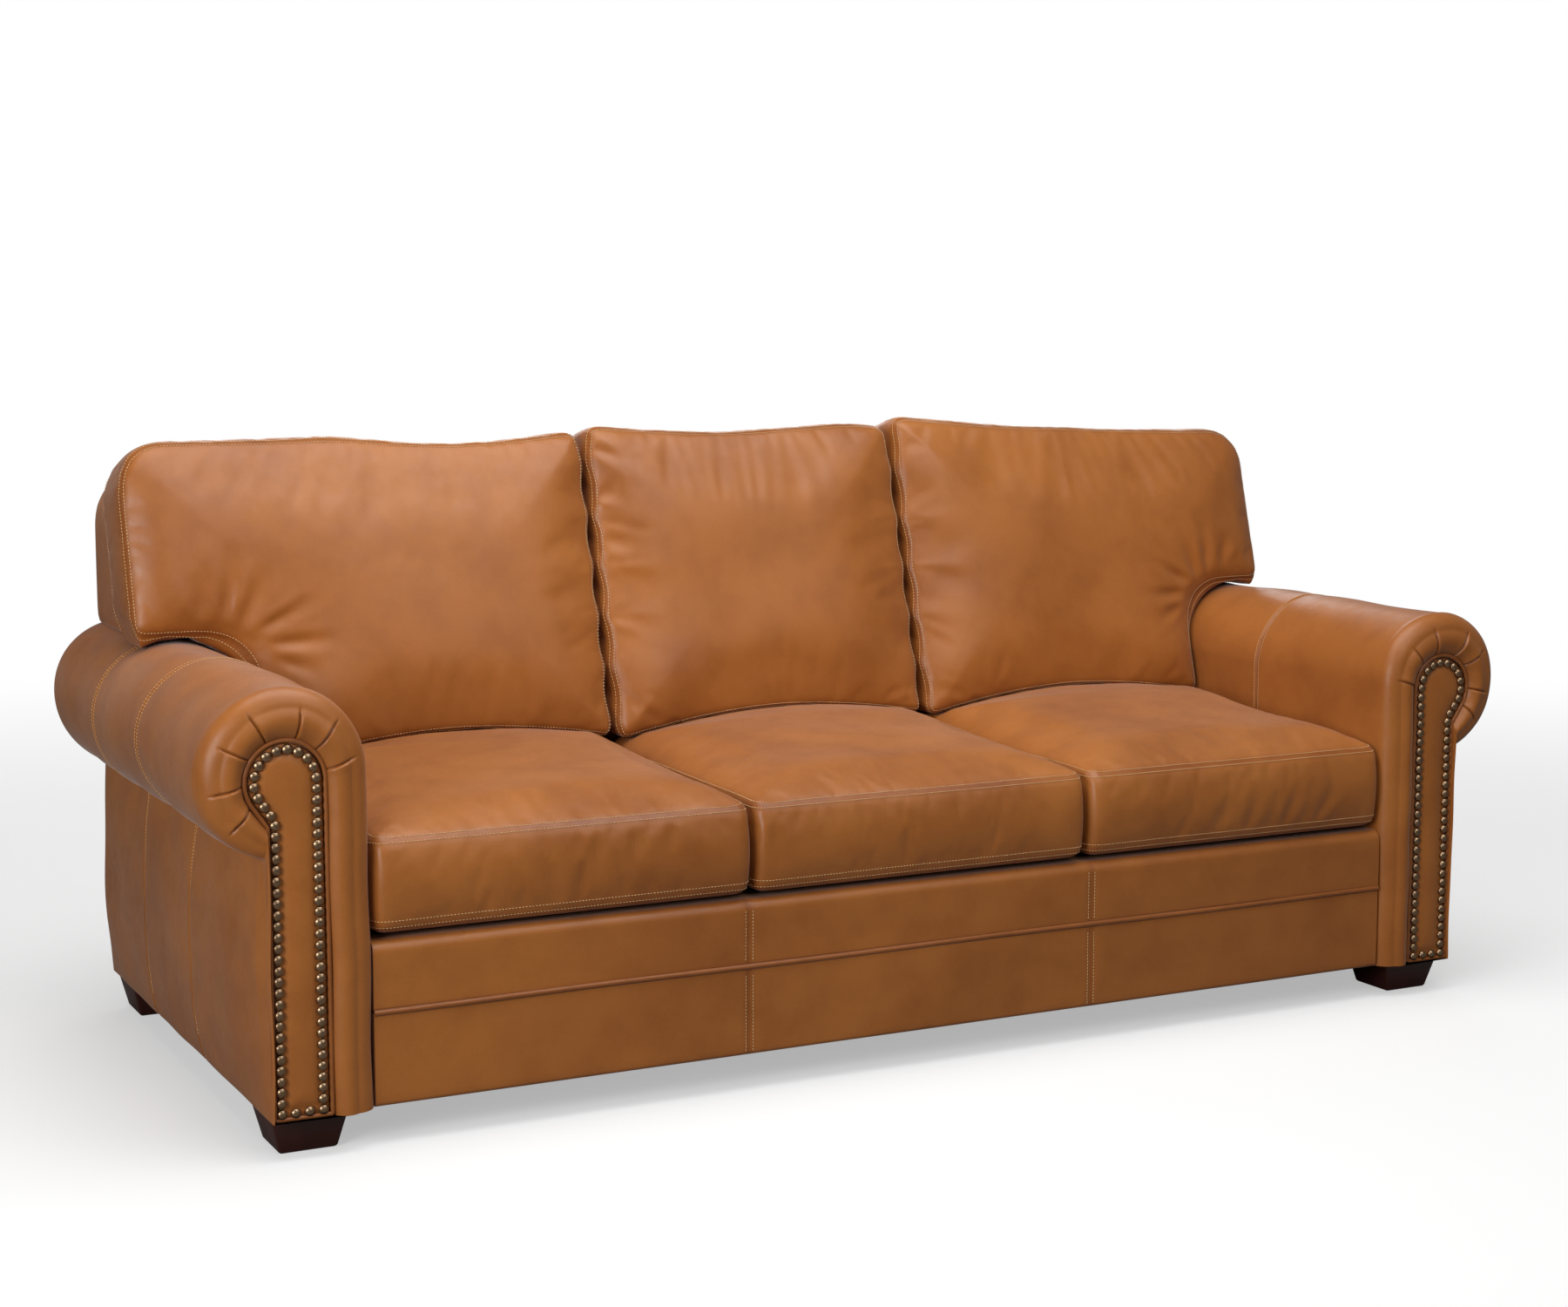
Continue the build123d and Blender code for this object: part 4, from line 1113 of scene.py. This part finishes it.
def seat_shape(co, loop, seed):
    inside = edge_distance(co[:, :2], loop)
    top = co[:, 2] > SEAT_SEAM - 0.004
    bottom = co[:, 2] < SEAT_LOW + 0.004
    depth = co[:, 1] - SEAT_FRONT
    back = np.clip((depth - 0.12) / 0.36, 0, 1)
    rise = 0.043 * (1 - np.exp(-depth / 0.055)) + 0.022 * back * back * (3 - 2 * back)
    rise = rise * (1 - np.exp(-inside / 0.026)) * (0.74 + 0.26 * (1 - (co[:, 0] / SEAT_HALF) ** 2))
    made = co.copy()
    made[:, 2] += np.where(top, rise, 0) - np.where(bottom, crown(inside, 0.0085, 0.03), 0)
    wall = ~(top | bottom)
    up = np.clip((co[:, 2] - SEAT_LOW) / (SEAT_SEAM - SEAT_LOW), 0, 1)
    bow = np.sin(math.pi * up) ** 0.7
    front = wall & (co[:, 1] < SEAT_FRONT + 0.03)
    made[:, 1] -= np.where(front, 0.011 * bow * (1 + 0.15 * ripple(co, 0.25, seed)), 0)
    sides = wall & ~front & (np.abs(co[:, 0]) > SEAT_HALF - 0.03)
    made[:, 0] += np.where(sides, 0.003 * bow * np.sign(co[:, 0]), 0)
    return made


def hold_in(piece):
    """Keeps a seat cushion in its own space: under the back cushion, on the deck, and off its neighbours."""
    co = points(piece)
    half = SEAT_HALF - 0.0002
    co[:, 0] = np.clip(co[:, 0], -half, half)
    co[:, 1] = np.clip(co[:, 1], SEAT_FRONT - 0.012, SEAT_REAR - 0.0005)
    co[:, 2] = np.maximum(co[:, 2], seat_low.z)
    before = np.clip((co[:, 1] - (BACK_FRONT - 0.13)) / 0.11, 0, 1)
    beneath = np.clip((co[:, 1] - (BACK_FRONT - 0.006)) / 0.014, 0, 1)
    lid = 0.507 + (under_back(co[:, 0]) + 0.006 - 0.507) * before - 0.0095 * beneath
    co[:, 2] = np.minimum(co[:, 2], lid)
    above_zip = co[:, 2] - (seat_low.z + seat_high.z) / 2
    slot = (np.abs(co[:, 0]) < 0.237) & (np.abs(above_zip) < 0.021) & (co[:, 1] > SEAT_REAR - 0.04)
    co[slot, 1] = np.minimum(co[slot, 1], SEAT_REAR - 0.0062)
    place(piece, co)


def finish_cushion(piece, loop, levels, axis):
    """Presses the seams in beside the outline, and gives back how near each point is to them, for the leather's seam
    mark.
    """
    co, no = points(piece), normals(piece)
    flat = [k for k in range(3) if k != axis]
    near = np.zeros(len(co))
    inside = edge_distance(co[:, flat], loop)
    for level in levels:
        gap = np.sqrt(inside ** 2 + (co[:, axis] - level) ** 2)
        near = np.maximum(near, np.exp(-((gap / 0.0065) ** 2)))
    place(piece, co - no * (near * 0.0022)[:, None])
    return near


FRONT_FOLDS = {
    -1: [
        (0.045, 0.43, 0.035, 0.345), (0.105, 0.432, 0.10, 0.36),
        (0.165, 0.43, 0.155, 0.38), (-0.01, 0.315, -0.05, 0.40),
    ],
    0: [(-0.27, 0.42, -0.262, 0.34)],
    1: [
        (0.01, 0.31, 0.035, 0.40), (0.085, 0.312, 0.125, 0.415),
        (0.155, 0.318, 0.205, 0.405), (-0.05, 0.32, -0.04, 0.37),
    ],
}


def build_seat(word, side):
    loop = seat_loop()
    piece = slab(f"{word}_seat_leather", loop, SEAT_LOW, SEAT_SEAM, VOXEL)
    co = points(piece)
    seed = 40 + side
    rim = edge_distance(co[:, :2], loop)
    pinned = (rim < 0.006) & ((np.abs(co[:, 2] - SEAT_SEAM) < 0.0055) | (np.abs(co[:, 2] - SEAT_LOW) < 0.0055))
    pinned |= co[:, 2] < SEAT_LOW + 0.002
    shaped = seat_shape(co, loop, seed)
    uneven = 0.0012 * ripple(co, 0.22, seed + 3) * np.clip(rim / 0.05, 0, 1)
    shaped[:, 2] += np.where(co[:, 2] > SEAT_SEAM - 0.004, uneven, 0)
    place(piece, shaped)
    moved = puff(piece, pinned, 2.0, 0.0035, 0.004)
    front = SEAT_FRONT - 0.004
    folds = [((x0, front, z0), (x1, front, z1)) for x0, z0, x1, z1 in FRONT_FOLDS[side]]
    press(piece, folds, 0.010, 0.0052)
    near = finish_cushion(piece, loop, (SEAT_SEAM, SEAT_LOW), 2)
    hold_in(piece)
    foam = core(piece, f"{word}_seat_core", f"{word}_seat_foam")
    seam_and_crease_shade_mark(piece, near)
    keep_modifier(piece, "SUBSURF", levels=1, render_levels=1)
    hold_in(piece)
    tree = surface(piece)
    rows = []
    ring = np.column_stack([loop, np.zeros(len(loop))])
    middle = np.array([0, (SEAT_FRONT + SEAT_REAR) / 2, 0])
    shown = np.concatenate([ring, ring[:1]])
    shown = evenly(shown, 0.003)
    inward = middle - shown
    inward /= np.linalg.norm(inward, axis=1)[:, None]
    scaled = middle + (shown - middle) * np.array([1 - 0.006 / SEAT_HALF, 1 - 0.006 / 0.3, 1])
    rows.append(drop(tree, scaled + (0, 0, SEAT_SEAM + 0.08), (0, 0, -1)))
    for z in (SEAT_SEAM - 0.006, SEAT_LOW + 0.007, SEAT_LOW + 0.017):
        outside = middle + (shown - middle) * 1.12 + (0, 0, z)
        rows.append(drop(tree, outside, inward * (1, 1, 0)))
    thread = sew(f"{word}_seat_stitches", rows)
    shift = Matrix.Translation((side * PITCH, 0, 0))
    for made in (piece, thread, foam):
        made.data.transform(shift)
    smooth(piece, 60)
    dress(piece, TAN)
    for made in (piece, thread, foam):
        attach(made, f"{word}_seat_cushion")
    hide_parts(f"{word}_seat_cover")
    print(word, "seat cushion", len(piece.data.polygons), "faces, cloth moved", round(moved, 4))
    return piece


for word, side in SIDES.items():
    build_seat(word, side)

# %% [markdown]
# ## Back cushions
# A back cushion is softer: fibre in a boxed cover, leaning against the back. It is made upright, with its
# panel facing forward, and then leaned by sliding each point back in proportion to its height, as the
# frame's slope does. The end cushions have an ear that lies over the arm, so their outline is an L.

# %% Build the back cushions
BACK_LOW, BACK_TOP = back_low.z, back_high.z
BACK_DEPTH = 0.140
LEAN_Z = 0.485
SHELF = arm_high.z + 0.009
TOPS = {
    -1: [(-0.75, 0.0), (-0.45, 0.002), (-0.1, -0.008), (0.25, -0.013), (0.6, -0.007), (0.95, 0.004)],
    0: [(-0.95, 0.013), (-0.55, 0.004), (-0.15, -0.002), (0.3, 0.003), (0.7, 0.010), (1.0, 0.004)],
    1: [(-0.95, 0.020), (-0.6, 0.010), (-0.2, 0.0), (0.2, -0.004), (0.65, -0.011), (1.2, -0.015)],
}


def back_loop(side):
    """Outline of a back cushion in x and z: arched below, with a wandering top edge and wavy sides."""
    half = PITCH / 2 - 0.004
    low, high = BACK_LOW, BACK_TOP - 0.010
    if side == 0:
        loop = soften([(-half, low), (half, low), (half, high), (-half, high)], [0.02, 0.02, 0.035, 0.03])
    else:
        ear = end_high.x - PITCH - (0.004 if side > 0 else -0.014)
        corners = [(-half, low), (half, low), (half, SHELF), (ear, SHELF), (ear, high), (-half, high)]
        loop = soften(corners, [0.02, 0.02, 0.098, 0.022, 0.085, 0.03]) * (side, 1)
    x, z = loop[:, 0].copy(), loop[:, 1].copy()
    foot = np.clip(1 - (z - low) / 0.11, 0, 1) ** 1.5
    head = np.clip(1 - (high - z) / 0.14, 0, 1) ** 1.5
    loop[:, 1] += foot * (under_back(x) - low) + head * through(x / half, TOPS[side])
    beside = (np.abs(np.abs(x) - half) < 0.004) & ((side == 0) | (x * side < 0))
    loop[:, 0] -= np.where(beside, np.sign(x) * 0.0022 * (1 + np.sin(z * 74 + 2 * side + np.sign(x))), 0)
    return loop


def lean(co):
    """Slides an upright cushion back with its height, and lets its top edge fall away behind."""
    made = co.copy()
    head = np.clip((co[:, 2] - 0.72) / 0.25, 0, 1)
    made[:, 1] += BACK_FRONT + (co[:, 2] - LEAN_Z) * RAKE
    made[:, 2] -= np.clip(co[:, 1], 0, 0.2) * RAKE * 0.9 * head * head * (3 - 2 * head)
    return made


def clear_of_arm(co, side, gap):
    """Keeps the part of an end cushion beside and above the arm that far off it."""
    limit = SEAT_HALF - gap
    beside = co[:, 2] < ROLL_Z
    co[:, 0] = np.where(beside & (co[:, 0] * side > limit), side * limit, co[:, 0])
    off = co[:, [0, 2]] - np.array([side * (ROLL_X - PITCH), ROLL_Z])
    far = np.linalg.norm(off, axis=1)
    off *= (np.clip(ROLL + gap - far, 0, 0.05) * ~beside / far)[:, None]
    co[:, [0, 2]] += off


def rest_on_roll(flat, side, bow):
    """Lets the strip below an ear sag until it almost lies on the arm's roll."""
    off = flat[:, :2] - np.array([side * (ROLL_X - PITCH), ROLL_Z])
    far = np.linalg.norm(off, axis=1)
    near = (flat[:, 0] * side > PITCH / 2 - 0.012) & (flat[:, 1] < SHELF + 0.02) & (flat[:, 1] > ROLL_Z + 0.02)
    sag = np.where(near, np.clip(far - ROLL - 0.0035, 0, 0.032) * bow, 0)
    flat[:, :2] -= off / far[:, None] * sag[:, None]


def build_back(word, side):
    loop = back_loop(side)
    front, rear = 0.012, BACK_DEPTH - 0.008
    piece = slab(f"{word}_back_leather", loop, front, rear, VOXEL)
    flat = points(piece)
    seed = 70 + side
    rim = edge_distance(flat[:, :2], loop)
    pinned = (rim < 0.006) & ((np.abs(flat[:, 2] - front) < 0.0055) | (np.abs(flat[:, 2] - rear) < 0.0055))
    pinned |= flat[:, 2] > rear - 0.002
    is_front, is_rear = flat[:, 2] < front + 0.004, flat[:, 2] > rear - 0.004
    rise = crown(rim, 0.032, 0.05) + 0.004 * ripple(flat * (1, 1, 0), 0.35, seed) * np.clip(rim / 0.08, 0, 1)
    flat[:, 2] += np.where(is_rear, crown(rim, 0.007, 0.03), 0) - np.where(is_front, rise, 0)
    wall = ~(is_front | is_rear)
    bow = np.sin(math.pi * np.clip((flat[:, 2] - front) / (rear - front), 0, 1)) ** 0.7
    top = wall & (flat[:, 1] > BACK_TOP - 0.04)
    flat[:, 1] += np.where(top, 0.005 * bow * (1 + 0.3 * ripple(flat, 0.3, seed + 1)), 0)
    if side:
        deep = (flat[:, 2] - front) / (rear - front)
        rest_on_roll(flat, side, wall * np.clip(deep / 0.1, 0, 1) * np.clip((1 - deep) / 0.1, 0, 1))
    co = np.column_stack([flat[:, 0], flat[:, 2], flat[:, 1]])
    place(piece, co)
    piece.data.flip_normals()
    piece.data.update()
    moved = puff(piece, pinned, 2.5, 0.005, 0.006)
    if side:
        def at(inward, up):
            return (side * (PITCH / 2 - inward), -0.012, SHELF + up)

        fan = [(-0.010, -0.034, 0.100, -0.064), (-0.015, -0.022, 0.135, -0.012), (-0.020, -0.012, 0.105, 0.055)]
        fan += [(-0.030, -0.004, 0.026, 0.105), (-0.046, 0.004, -0.028, 0.145), (-0.080, 0.010, -0.088, 0.100)]
        press(piece, [(at(a, b), at(c, d)) for a, b, c, d in fan[:3]], 0.0070, 0.0090)
        press(piece, [(at(a, b), at(c, d)) for a, b, c, d in fan[3:]], 0.010, 0.0065)
        low = side * (PITCH / 2 - 0.46)
        press(piece, [((low, -0.012, 0.50), (low + side * 0.035, -0.03, 0.60))], 0.010, 0.0035)
    else:
        dents = [(0.955, -0.035, 0.10), (0.868, 0.012, 0.055), (0.80, -0.014, 0.07), (0.66, 0.02, 0.05)]
        edge = -PITCH / 2
        press(piece, [((edge + 0.002, 0, z), (edge + run, -0.012, z + dz)) for z, dz, run in dents], 0.010, 0.0065)
        sags = [((-0.16, -0.02, 0.975), (0.02, -0.03, 0.93)), ((0.05, -0.02, 0.978), (0.16, -0.03, 0.945))]
        press(piece, sags, 0.013, 0.0025)
    near = finish_cushion(piece, loop, (front, rear), 1)
    fill = core(piece, f"{word}_back_core", f"{word}_back_fill")
    if side:
        inner = points(fill)
        clear_of_arm(inner, side, 0.012)
        place(fill, inner)
    seam_and_crease_shade_mark(piece, near)
    keep_modifier(piece, "SUBSURF", levels=1, render_levels=1)
    co = points(piece)
    if side == 0:
        co[:, 0] = np.clip(co[:, 0], -SEAT_HALF + 0.0002, SEAT_HALF - 0.0002)
    else:
        edge = -side * (SEAT_HALF - 0.0002)
        co[:, 0] = np.maximum(co[:, 0], edge) if side > 0 else np.minimum(co[:, 0], edge)
        clear_of_arm(co, side, 0.0008)
    co[:, 2] = np.maximum(co[:, 2], np.where(np.abs(co[:, 0]) < SEAT_HALF, under_back(co[:, 0]) - 0.0025, 0))
    co[:, 1] = np.minimum(co[:, 1], BACK_DEPTH - 0.0004)
    lift = (co[:, 2] - 0.56) / math.cos(LEAN)
    slot = (np.abs(co[:, 0]) < 0.238) & (np.abs(lift) < 0.0215) & (co[:, 1] > BACK_DEPTH - 0.03)
    co[slot, 1] = np.minimum(co[slot, 1], BACK_DEPTH - 0.0066)
    place(piece, co)
    tree = surface(piece)
    closed = np.concatenate([loop, loop[:1]])
    ring = evenly(np.column_stack([closed[:, 0], np.zeros(len(closed)), closed[:, 1]]), 0.003)
    way = np.gradient(ring, axis=0)
    out = np.column_stack([way[:, 2], np.zeros(len(ring)), -way[:, 0]])
    out /= np.linalg.norm(out, axis=1)[:, None] + 1e-9
    if side < 0:
        out = -out
    rows = [drop(tree, ring - out * 0.0065 + (0, -0.08, 0), (0, 1, 0))]
    for y in (front + 0.006, rear - 0.006):
        rows.append(drop(tree, ring + out * 0.03 + (0, y, 0), -out))
    thread = sew(f"{word}_back_stitches", rows)
    for made in (piece, thread, fill):
        place(made, lean(points(made)))
        made.data.transform(Matrix.Translation((side * PITCH, 0, 0)))
    smooth(piece, 60)
    dress(piece, TAN)
    for made in (piece, thread, fill):
        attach(made, f"{word}_back_cushion")
    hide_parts(f"{word}_back_cover")
    print(word, "back cushion", len(piece.data.polygons), "faces, cloth moved", round(moved, 4))
    return piece


for word, side in SIDES.items():
    build_back(word, side)

# %% [markdown]
# ## The back frame's cover and the outside back
# Behind the cushions the frame is wrapped in padded leather with soft top corners. A flat leather panel
# closes it at the rear, pieced from three hides.

# %% Back cover
SHELL_HALF, SHELL_TOP, SHELL_CORNER = shell_high.x, shell_high.z, 0.09


def shell_loop():
    side = ARM_IN - 0.0006
    turn = math.degrees(math.acos((SHELL_HALF - 0.004 - ROLL_X) / (ROLL + 0.0006)))
    right = [(side, shell_low.z), (side, ROLL_Z)]
    right += [tuple(p) for p in arc((ROLL_X, ROLL_Z), ROLL + 0.0006, 180, turn, 24, True)]
    right += [(SHELL_HALF - 0.004, SHELL_TOP - SHELL_CORNER)]
    corner = (SHELL_HALF - 0.004 - SHELL_CORNER, SHELL_TOP - 0.004 - SHELL_CORNER)
    right += [tuple(p) for p in arc(corner, SHELL_CORNER, 0, 90, 12, True)]
    right = np.array(right)
    return np.concatenate([right, right[::-1] * (-1, 1)])


def build_shell():
    loop = shell_loop()
    count = len(loop)
    slope = BACK_FRONT + BACK_DEPTH + 0.002 + (loop[:, 1] - LEAN_Z) * RAKE
    front = np.column_stack([loop[:, 0], slope, loop[:, 1]])
    rear = np.column_stack([loop[:, 0], np.full(count, rear_low.y - 0.0004), loop[:, 1]])
    faces = [tuple(range(count)), tuple(count + c for c in reversed(range(count)))]
    faces += [(c, count + c, count + (c + 1) % count, (c + 1) % count) for c in range(count)]
    piece = mesh_piece("back_frame_leather", np.concatenate([front, rear]), faces)
    outward(piece)
    keep_modifier(piece, "REMESH", mode="VOXEL", voxel_size=0.0105)
    keep_modifier(piece, "SMOOTH", factor=0.5, iterations=4)
    co, no = points(piece), normals(piece)
    facing = np.clip(-no[:, 1], 0, 1)
    ends = np.clip(np.abs(no[:, 0]) + no[:, 2], 0, 1)
    soft = ripple(co, 0.3, 17)
    co = co + no * ((facing * -0.0015 + ends * 0.0012) * (1 + 0.4 * soft) * (co[:, 1] < rear_low.y - 0.02))[:, None]
    place(piece, co)
    draw = np.clip((co[:, 1] - (rear_low.y - 0.05)) / 0.05, 0, 1) ** 2
    draw *= np.clip((co[:, 2] - arm_high.z + 0.03) / 0.03, 0, 1)
    co[:, 0] -= np.sign(co[:, 0]) * 0.022 * draw * np.clip((np.abs(co[:, 0]) - 0.9) / 0.1, 0, 1)
    place(piece, co)
    seam_and_crease_shade_mark(piece, np.exp(-(((rear_low.y - co[:, 1]) / 0.008) ** 2)))
    smooth(piece, 55)
    dress(piece, TAN)
    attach(piece, "sofa")
    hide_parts("back_shell")
    return piece


back_cover = build_shell()
print("back cover faces", len(back_cover.data.polygons))

# %% Outside back
REAR_SEAMS = (-0.36, 0.36)


def rear_half(z):
    if z < arm_high.z - 0.001:
        return ARM_OUT
    if z < SHELL_TOP - SHELL_CORNER:
        return SHELL_HALF
    up = min((z - (SHELL_TOP - SHELL_CORNER)) / SHELL_CORNER, 1.0)
    return SHELL_HALF - SHELL_CORNER + SHELL_CORNER * math.sqrt(max(1 - up * up, 0))


def build_rear():
    corner_z = SHELL_TOP - SHELL_CORNER
    zs = np.concatenate([
        np.linspace(FLOOR_GAP, arm_high.z - 0.0012, 60),
        np.linspace(arm_high.z - 0.0008, corner_z, 18),
        corner_z + SHELL_CORNER * np.sin(np.linspace(0.1, math.pi / 2 - 0.02, 12)),
    ])
    s = np.linspace(-1, 1, 221)
    y_out, y_in = rear_high.y, rear_low.y
    rows, marks = [], []
    for z in zs:
        half = rear_half(z) - (0.001 if z < arm_high.z - 0.001 else 0.025)
        x = s * half
        near = sum(bump_at(x, seam, 0.0042) for seam in REAR_SEAMS)
        rim = np.minimum(half - np.abs(x), min(z - FLOOR_GAP, SHELL_TOP - z))
        y = y_out - 0.0032 * np.exp(-np.clip(rim, 0, 1) / 0.004) - near * 0.0025
        rows.append(np.column_stack([x, y, np.full(len(s), z)]))
        marks.append(near)
    front = np.array(rows).reshape(-1, 3)
    soft = ripple(front, 0.35, 23)
    front[:, 1] += 0.0012 * (soft - 1)
    back = front.copy()
    back[:, 1] = y_in
    cols, count, base = len(s), len(zs), len(front)
    faces = grid_faces(count, cols)
    faces += [tuple(base + v for v in reversed(f)) for f in grid_faces(count, cols)]
    rim = list(range(cols)) + [r * cols + cols - 1 for r in range(1, count)]
    rim += [(count - 1) * cols + c for c in reversed(range(cols - 1))]
    rim += [r * cols for r in reversed(range(1, count - 1))]
    faces += edge_faces(rim, base)
    piece = mesh_piece("outside_back_leather", np.concatenate([front, back]), faces)
    seam_and_crease_shade_mark(piece, np.concatenate([np.array(marks).reshape(-1), np.zeros(base)]))
    outward(piece)
    smooth(piece, 50)
    dress(piece, TAN)
    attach(piece, "sofa")
    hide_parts("outer_back_panel")
    tree = surface(piece)
    lines = []
    for seam in REAR_SEAMS:
        for off in BESIDE_SEAM:
            heights = np.arange(FLOOR_GAP + 0.01, SHELL_TOP - 0.02, 0.003)
            line = np.array([(seam + off, y_out + 0.03, z) for z in heights])
            lines.append(drop(tree, line, (0, -1, 0)))
    thread = sew("outside_back_stitches", lines)
    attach(thread, "sofa")
    return piece


outside_back = build_rear()
print("outside back faces", len(outside_back.data.polygons))

# %% [markdown]
# ## Feet
# Each foot is a square block of hardwood, wider at the top, with its edges eased and stained almost black.
# A cube is scaled in at the sole in edit mode, and a bevel modifier eases every edge.


# %% Build the feet
TAPER = 85 / 112


def build_foot(node):
    low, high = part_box(node)
    middle = (low + high) / 2
    bpy.ops.object.select_all(action="DESELECT")
    bpy.ops.mesh.primitive_cube_add(size=1, location=middle)
    foot = bpy.context.object
    foot.name = node + "_wood"
    foot.scale = (high.x - low.x, high.y - low.y, high.z - low.z)
    bpy.ops.object.transform_apply(location=True, rotation=True, scale=True)
    bpy.ops.object.mode_set(mode="EDIT")
    shape = bmesh.from_edit_mesh(foot.data)
    for vertex in shape.verts:
        vertex.select = vertex.co.z < middle.z
    shape.select_flush(True)
    bmesh.update_edit_mesh(foot.data)
    bpy.ops.transform.resize(value=(TAPER, TAPER, 1), center_override=(middle.x, middle.y, low.z))
    bpy.ops.object.mode_set(mode="OBJECT")
    keep_modifier(foot, "BEVEL", width=0.0045, segments=4, limit_method="ANGLE")
    smooth(foot, 35)
    dress(foot, ESPRESSO)
    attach(foot, "sofa")
    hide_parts(node)
    return foot


feet = [build_foot(f"{a}_{b}_foot") for a in ("front", "rear") for b in ("left", "right")]
print("feet", len(feet))

# %% [markdown]
# ## Floor, light and camera
# The sofa stands on a plain pale floor that runs into a pale surround. One large soft light hangs above it,
# one fills the front and one the left side, and a low one behind it skims the tops of the arms and cushions,
# where the wax in the leather turns pale.

# %% Studio
bpy.ops.object.select_all(action="DESELECT")
bpy.ops.mesh.primitive_plane_add(size=60, location=(0, 0, 0))
floor = bpy.context.object
floor.name = "studio_floor"


def floor_material():
    """White near the sofa, where it takes the shadow, but partly glowing even there, which is painted light that
    pales the shadow; further out it glows fully white, so that no edge shows.
    Seen by other surfaces it is a dull grey, so that it throws little light up at the fronts."""
    made, nodes, link, shader = material("floor_paint")
    shader.inputs["Base Color"].default_value = (0.9, 0.9, 0.9, 1)
    shader.inputs["Roughness"].default_value = 0.9
    where, reach = nodes.new("ShaderNodeTexCoord"), nodes.new("ShaderNodeVectorMath")
    far = nodes.new("ShaderNodeMapRange")
    reach.operation = "LENGTH"
    far.interpolation_type = "SMOOTHSTEP"
    far.inputs["From Min"].default_value, far.inputs["From Max"].default_value = 1.2, 5.0
    far.inputs["To Min"].default_value = 0.43
    link(where.outputs["Object"], reach.inputs[0])
    link(reach.outputs["Value"], far.inputs["Value"])
    glow, both = nodes.new("ShaderNodeEmission"), nodes.new("ShaderNodeMixShader")
    link(far.outputs["Result"], both.inputs["Fac"])
    link(shader.outputs[0], both.inputs[1])
    link(glow.outputs[0], both.inputs[2])
    rays, dull = nodes.new("ShaderNodeLightPath"), nodes.new("ShaderNodeBsdfDiffuse")
    shown = nodes.new("ShaderNodeMixShader")
    dull.inputs["Color"].default_value = (0.2, 0.19, 0.18, 1)
    link(rays.outputs["Is Camera Ray"], shown.inputs["Fac"])
    link(dull.outputs[0], shown.inputs[1])
    link(both.outputs[0], shown.inputs[2])
    link(shown.outputs[0], nodes["Material Output"].inputs["Surface"])
    return made


dress(floor, floor_material())


def surround(seen, lit):
    """A white room: seen is how bright it looks, and lit how much light it gives."""
    world = bpy.data.worlds.new("studio")
    bpy.context.scene.world = world
    world.use_nodes = True
    nodes, link = world.node_tree.nodes, world.node_tree.links.new
    room = nodes["Background"]
    room.inputs["Color"].default_value = (1, 1, 1, 1)
    rays, level = nodes.new("ShaderNodeLightPath"), nodes.new("ShaderNodeMapRange")
    level.inputs["To Min"].default_value, level.inputs["To Max"].default_value = lit, seen
    link(rays.outputs["Is Camera Ray"], level.inputs["Value"])
    link(level.outputs["Result"], room.inputs["Strength"])


surround(1.0, 0.13)


def softbox(name, at, aim, size, power, colour=(1, 1, 1)):
    data = bpy.data.lights.new(name, "AREA")
    data.shape, data.size, data.size_y = "RECTANGLE", size[0], size[1]
    data.energy, data.color = power, colour
    lamp = bpy.data.objects.new(name, data)
    bpy.context.scene.collection.objects.link(lamp)
    lamp.location = at
    lamp.rotation_euler = (Vector(aim) - Vector(at)).to_track_quat("-Z", "Y").to_euler()
    lamp.visible_camera = False
    return lamp


softbox("top_softbox", (-0.2, -0.7, 3.0), (0.1, 0, 0.3), (3.2, 2.2), 86)
softbox("front_softbox", (0.5, -3.5, 2.9), (0.1, 0, 0.6), (2.8, 1.6), 34)
softbox("left_softbox", (-3.8, -2.3, 1.5), (-0.9, 0, 0.5), (1.8, 1.4), 92)
softbox("rear_softbox", (1.4, 3.4, 2.1), (0, 0, 0.7), (3.6, 1.6), 42)

camera_data = bpy.data.cameras.new("camera")
camera_data.lens = 59.23
camera_data.sensor_width = 36
camera = bpy.data.objects.new("camera", camera_data)
bpy.context.scene.collection.objects.link(camera)
camera.location = (-2.001, FRONT - 3.408, 1.149)
camera.rotation_euler = (math.radians(82.865), 0, math.radians(-27.095))
bpy.context.scene.camera = camera
bpy.context.scene.view_settings.view_transform = "Standard"
print("camera at", [round(v, 3) for v in camera.location])
